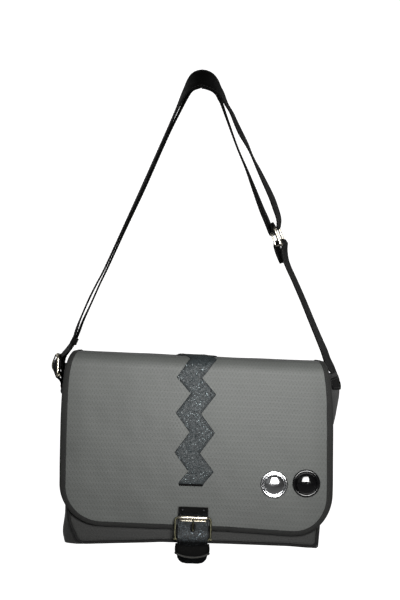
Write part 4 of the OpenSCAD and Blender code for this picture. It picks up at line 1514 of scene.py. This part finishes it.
def side_tab():
    """A backing on the left gusset and two loops round the side buckle's bar."""
    half, gap = 18.6, 3.1
    part = Part()
    band(part, [(-178.5, 185.5), (-178.7, 192), (-179.2, 206), (-179.6, 213), (-179.5, 218),
                (-179.3, 222.6)], -half, half, 1.4)
    around_bar = arc((SIDE_BAR_X, SIDE_BAR_Z), 3.3, -10, 200, 10).tolist()
    loop = [(-180.6, 209), (-180.9, 214.5)] + around_bar
    loop += [(-186.4, 213.8), (-182.9, 210.2), (-180.9, 205), (-180.3, 193)]
    for start, end in ((-half, -gap), (gap, half)):
        band(part, loop, start, end, 1.9)
    place(part.make("side_tab_leather", STRAP, "strap_black"), "bag", "side_tab")


def strap_patch():
    """A patch near the top of the right gusset, stitched round its edge; beyond the strap's width its
    black is painted shade.
    """
    low = 210.2
    # the patch spans y = -38 to 38, twice the strap's width; the black beyond the strap is painted
    # shade at the gusset's top
    y, share = np.meshgrid(np.linspace(-38, 38, 49), np.linspace(0, 1, 20))
    z = low + share * (228.4 - 7 * (np.abs(y) / 43) ** 2 - low)
    grid = points(gusset_x(1, y, z) + 0.75, y, z)
    ob = sheet("strap_patch_and_painted_shade", grid, grid_normals(grid, 0, 1), 1.3, points(y, z), STRAP,
               STRAP, "strap_black")
    place(ob, "bag", "strap_patch")
    along, rise = np.linspace(-36, 36, 50), np.linspace(212.5, 221, 8)
    back = along[::-1]
    y, z = np.vstack([points(along, 212), points(36, rise),
                      points(back, 226.6 - 7 * (np.abs(back) / 43) ** 2),
                      points(-36, rise[::-1])]).T
    seam = points(gusset_x(1, y, z) + 1.4, y, z)
    normals = np.broadcast_to(np.array([1.0, 0, 0]), seam.shape)
    place(stitches("strap_patch_stitches", [(seam, normals)], GREY_THREAD, "strap_black",
                   pitch=3.2, length=2.3, radius=0.32), "bag")


side_tab()
rivets("tab", [(0, -0.8), (2.2, -0.8), (2.35, 0), (2.0, 0.6), (1.2, 0.95), (0, 1.1)],
       GOLD,
       [(-181.2 - (z - 196.5) * 0.06, y, z) for z in (196.5, 203) for y in (-11, 11)],
       rotate(-90, "Y"), "bag")
strap_patch()

# ------------------------------------------------------------------ CAD pieces that stay
# name: material, slot, width of the softened edges
KEPT = {
    "foam_base": (FOAM, "foam", 1.2),
    "foam_tray_lower": (FOAM, "foam", 1.0),
    "foam_tray_upper": (FOAM, "foam", 1.0),
    "tray_lift_ribbon": (RIBBON, "ribbon", 0.25),
    "base_board": (BOARD, "board", 0.5),
    "stud_washers": (CHROME, "bright_metal", 0.2),
    "magnet_cap": (CHROME, "bright_metal", 0.5),
    "magnet_socket": (CHROME, "bright_metal", 0.4),
}
for name, (mat, slot, width) in KEPT.items():
    ob = frame["nodes"][name]
    ob.data.materials.clear()
    ob.data.materials.append(mat)
    bevel = ob.modifiers.new("soft_edges", "BEVEL")
    bevel.width = width * MM
    bevel.segments = 3
    bevel.limit_method = "ANGLE"
    bevel.angle_limit = math.radians(40)


# ------------------------------------------------------------------ floor, light and camera
def studio_white():
    """White that glows to the camera only."""
    g = Shader("studio_white")
    big = g.noise(g.position(), scale=3.0, detail=2.0)
    return g.finish(Base_Color=g.ramp(big, at=(0.3, 0.7), to=(0.88, 0.92)), Roughness=0.95,
                    Emission_Color=(1.0, 1.0, 1.0), Emission_Strength=g.mul(
                        g.node("ShaderNodeLightPath").outputs["Is Camera Ray"], 1.0))


def backdrop():
    """A floor that curves up into a wall behind the bag."""
    half, floor_z, bend_y, bend_r = 3500, -262.0, 900, 900
    bend = np.linspace(0.1, PI / 2, 14)
    wall_at = bend_y + bend_r
    y = np.concatenate([np.linspace(-3200, bend_y, 12), bend_y + bend_r * np.sin(bend),
                        [wall_at, wall_at]])
    z = np.concatenate([np.full(12, floor_z), floor_z + bend_r * (1 - np.cos(bend)),
                        [1500, 3800]])
    verts = [(x * MM, y[i] * MM, z[i] * MM) for i in range(len(y)) for x in (-half, half)]
    faces = [(2 * i - 2, 2 * i - 1, 2 * i + 1, 2 * i) for i in range(1, len(y))]
    mesh = bpy.data.meshes.new("floor_and_backdrop")
    mesh.from_pydata(verts, [], faces)
    mesh.materials.append(studio_white())
    mesh.polygons.foreach_set("use_smooth", np.ones(len(faces), bool))
    ob = bpy.data.objects.new("floor_and_backdrop", mesh)
    bpy.context.scene.collection.objects.link(ob)


def area(name, loc, aim, size, power, colour=(1, 1, 1), spread_angle=180):
    """A square area light at loc, pointed at aim."""
    light = bpy.data.lights.new(name, "AREA")
    light.energy = power
    light.color = colour
    light.shape = "RECTANGLE"
    light.size = light.size_y = size
    light.spread = math.radians(spread_angle)
    ob = bpy.data.objects.new(name, light)
    ob.location = loc
    ob.rotation_mode = "QUATERNION"
    ob.rotation_quaternion = (Vector(aim) - Vector(loc)).to_track_quat("-Z", "Y")
    bpy.context.scene.collection.objects.link(ob)


def world():
    """White to the camera, and a dim white light to everything else."""
    studio = bpy.data.worlds.new("studio")
    bpy.context.scene.world = studio
    studio.use_nodes = True
    nodes, links = studio.node_tree.nodes, studio.node_tree.links
    background = nodes["Background"]
    background.inputs[0].default_value = (1, 1, 1, 1)
    light_path = nodes.new("ShaderNodeLightPath")
    strength = nodes.new("ShaderNodeMapRange")
    strength.inputs["To Min"].default_value = 0.045
    strength.inputs["To Max"].default_value = 1.0
    links.new(light_path.outputs["Is Camera Ray"], strength.inputs["Value"])
    links.new(strength.outputs["Result"], background.inputs[1])


def camera():
    """Level with the eye line, in front of the flap, rolled a little."""
    distance, view_width, sensor, roll = 4.0, 0.792, 36, 1.8
    data = bpy.data.cameras.new("camera")
    ob = bpy.data.objects.new("camera", data)
    bpy.context.scene.collection.objects.link(ob)
    data.sensor_width = sensor
    data.lens = sensor * distance / view_width
    ob.location = (0.0, -distance - 0.052, EYE_Z * MM)
    ob.rotation_mode = "QUATERNION"
    look = Vector((0, 1, 0)).to_track_quat("-Z", "Y")
    ob.rotation_quaternion = look @ rotate(roll, "Z").to_quaternion()
    bpy.context.scene.camera = ob


backdrop()
area("key", loc=(0.13, -0.92, 0.27), aim=(0.02, 0, 0.37), size=0.30, power=1.40,
     colour=(1, 0.995, 0.985), spread_angle=78)
area("fill", loc=(-1.1, -2.2, 0.7), aim=(0, 0, 0.2), size=1.2, power=0.5,
     colour=(0.95, 0.98, 1))
area("rear_l", loc=(-0.95, 0.80, 0.75), aim=(-0.05, 0.05, 0.15), size=0.6, power=1.6)
area("rear_r", loc=(0.95, 0.55, 0.70), aim=(0.10, 0.05, 0.15), size=0.6, power=1.6)
area("back_l", loc=(-1.9, 0.9, 1.0), aim=(-0.3, 1.9, 0.4), size=1.4, power=2.5)
area("back_r", loc=(1.9, 0.9, 1.0), aim=(0.3, 1.9, 0.4), size=1.4, power=2.5)
world()
camera()
bpy.context.scene.view_settings.view_transform = "Standard"
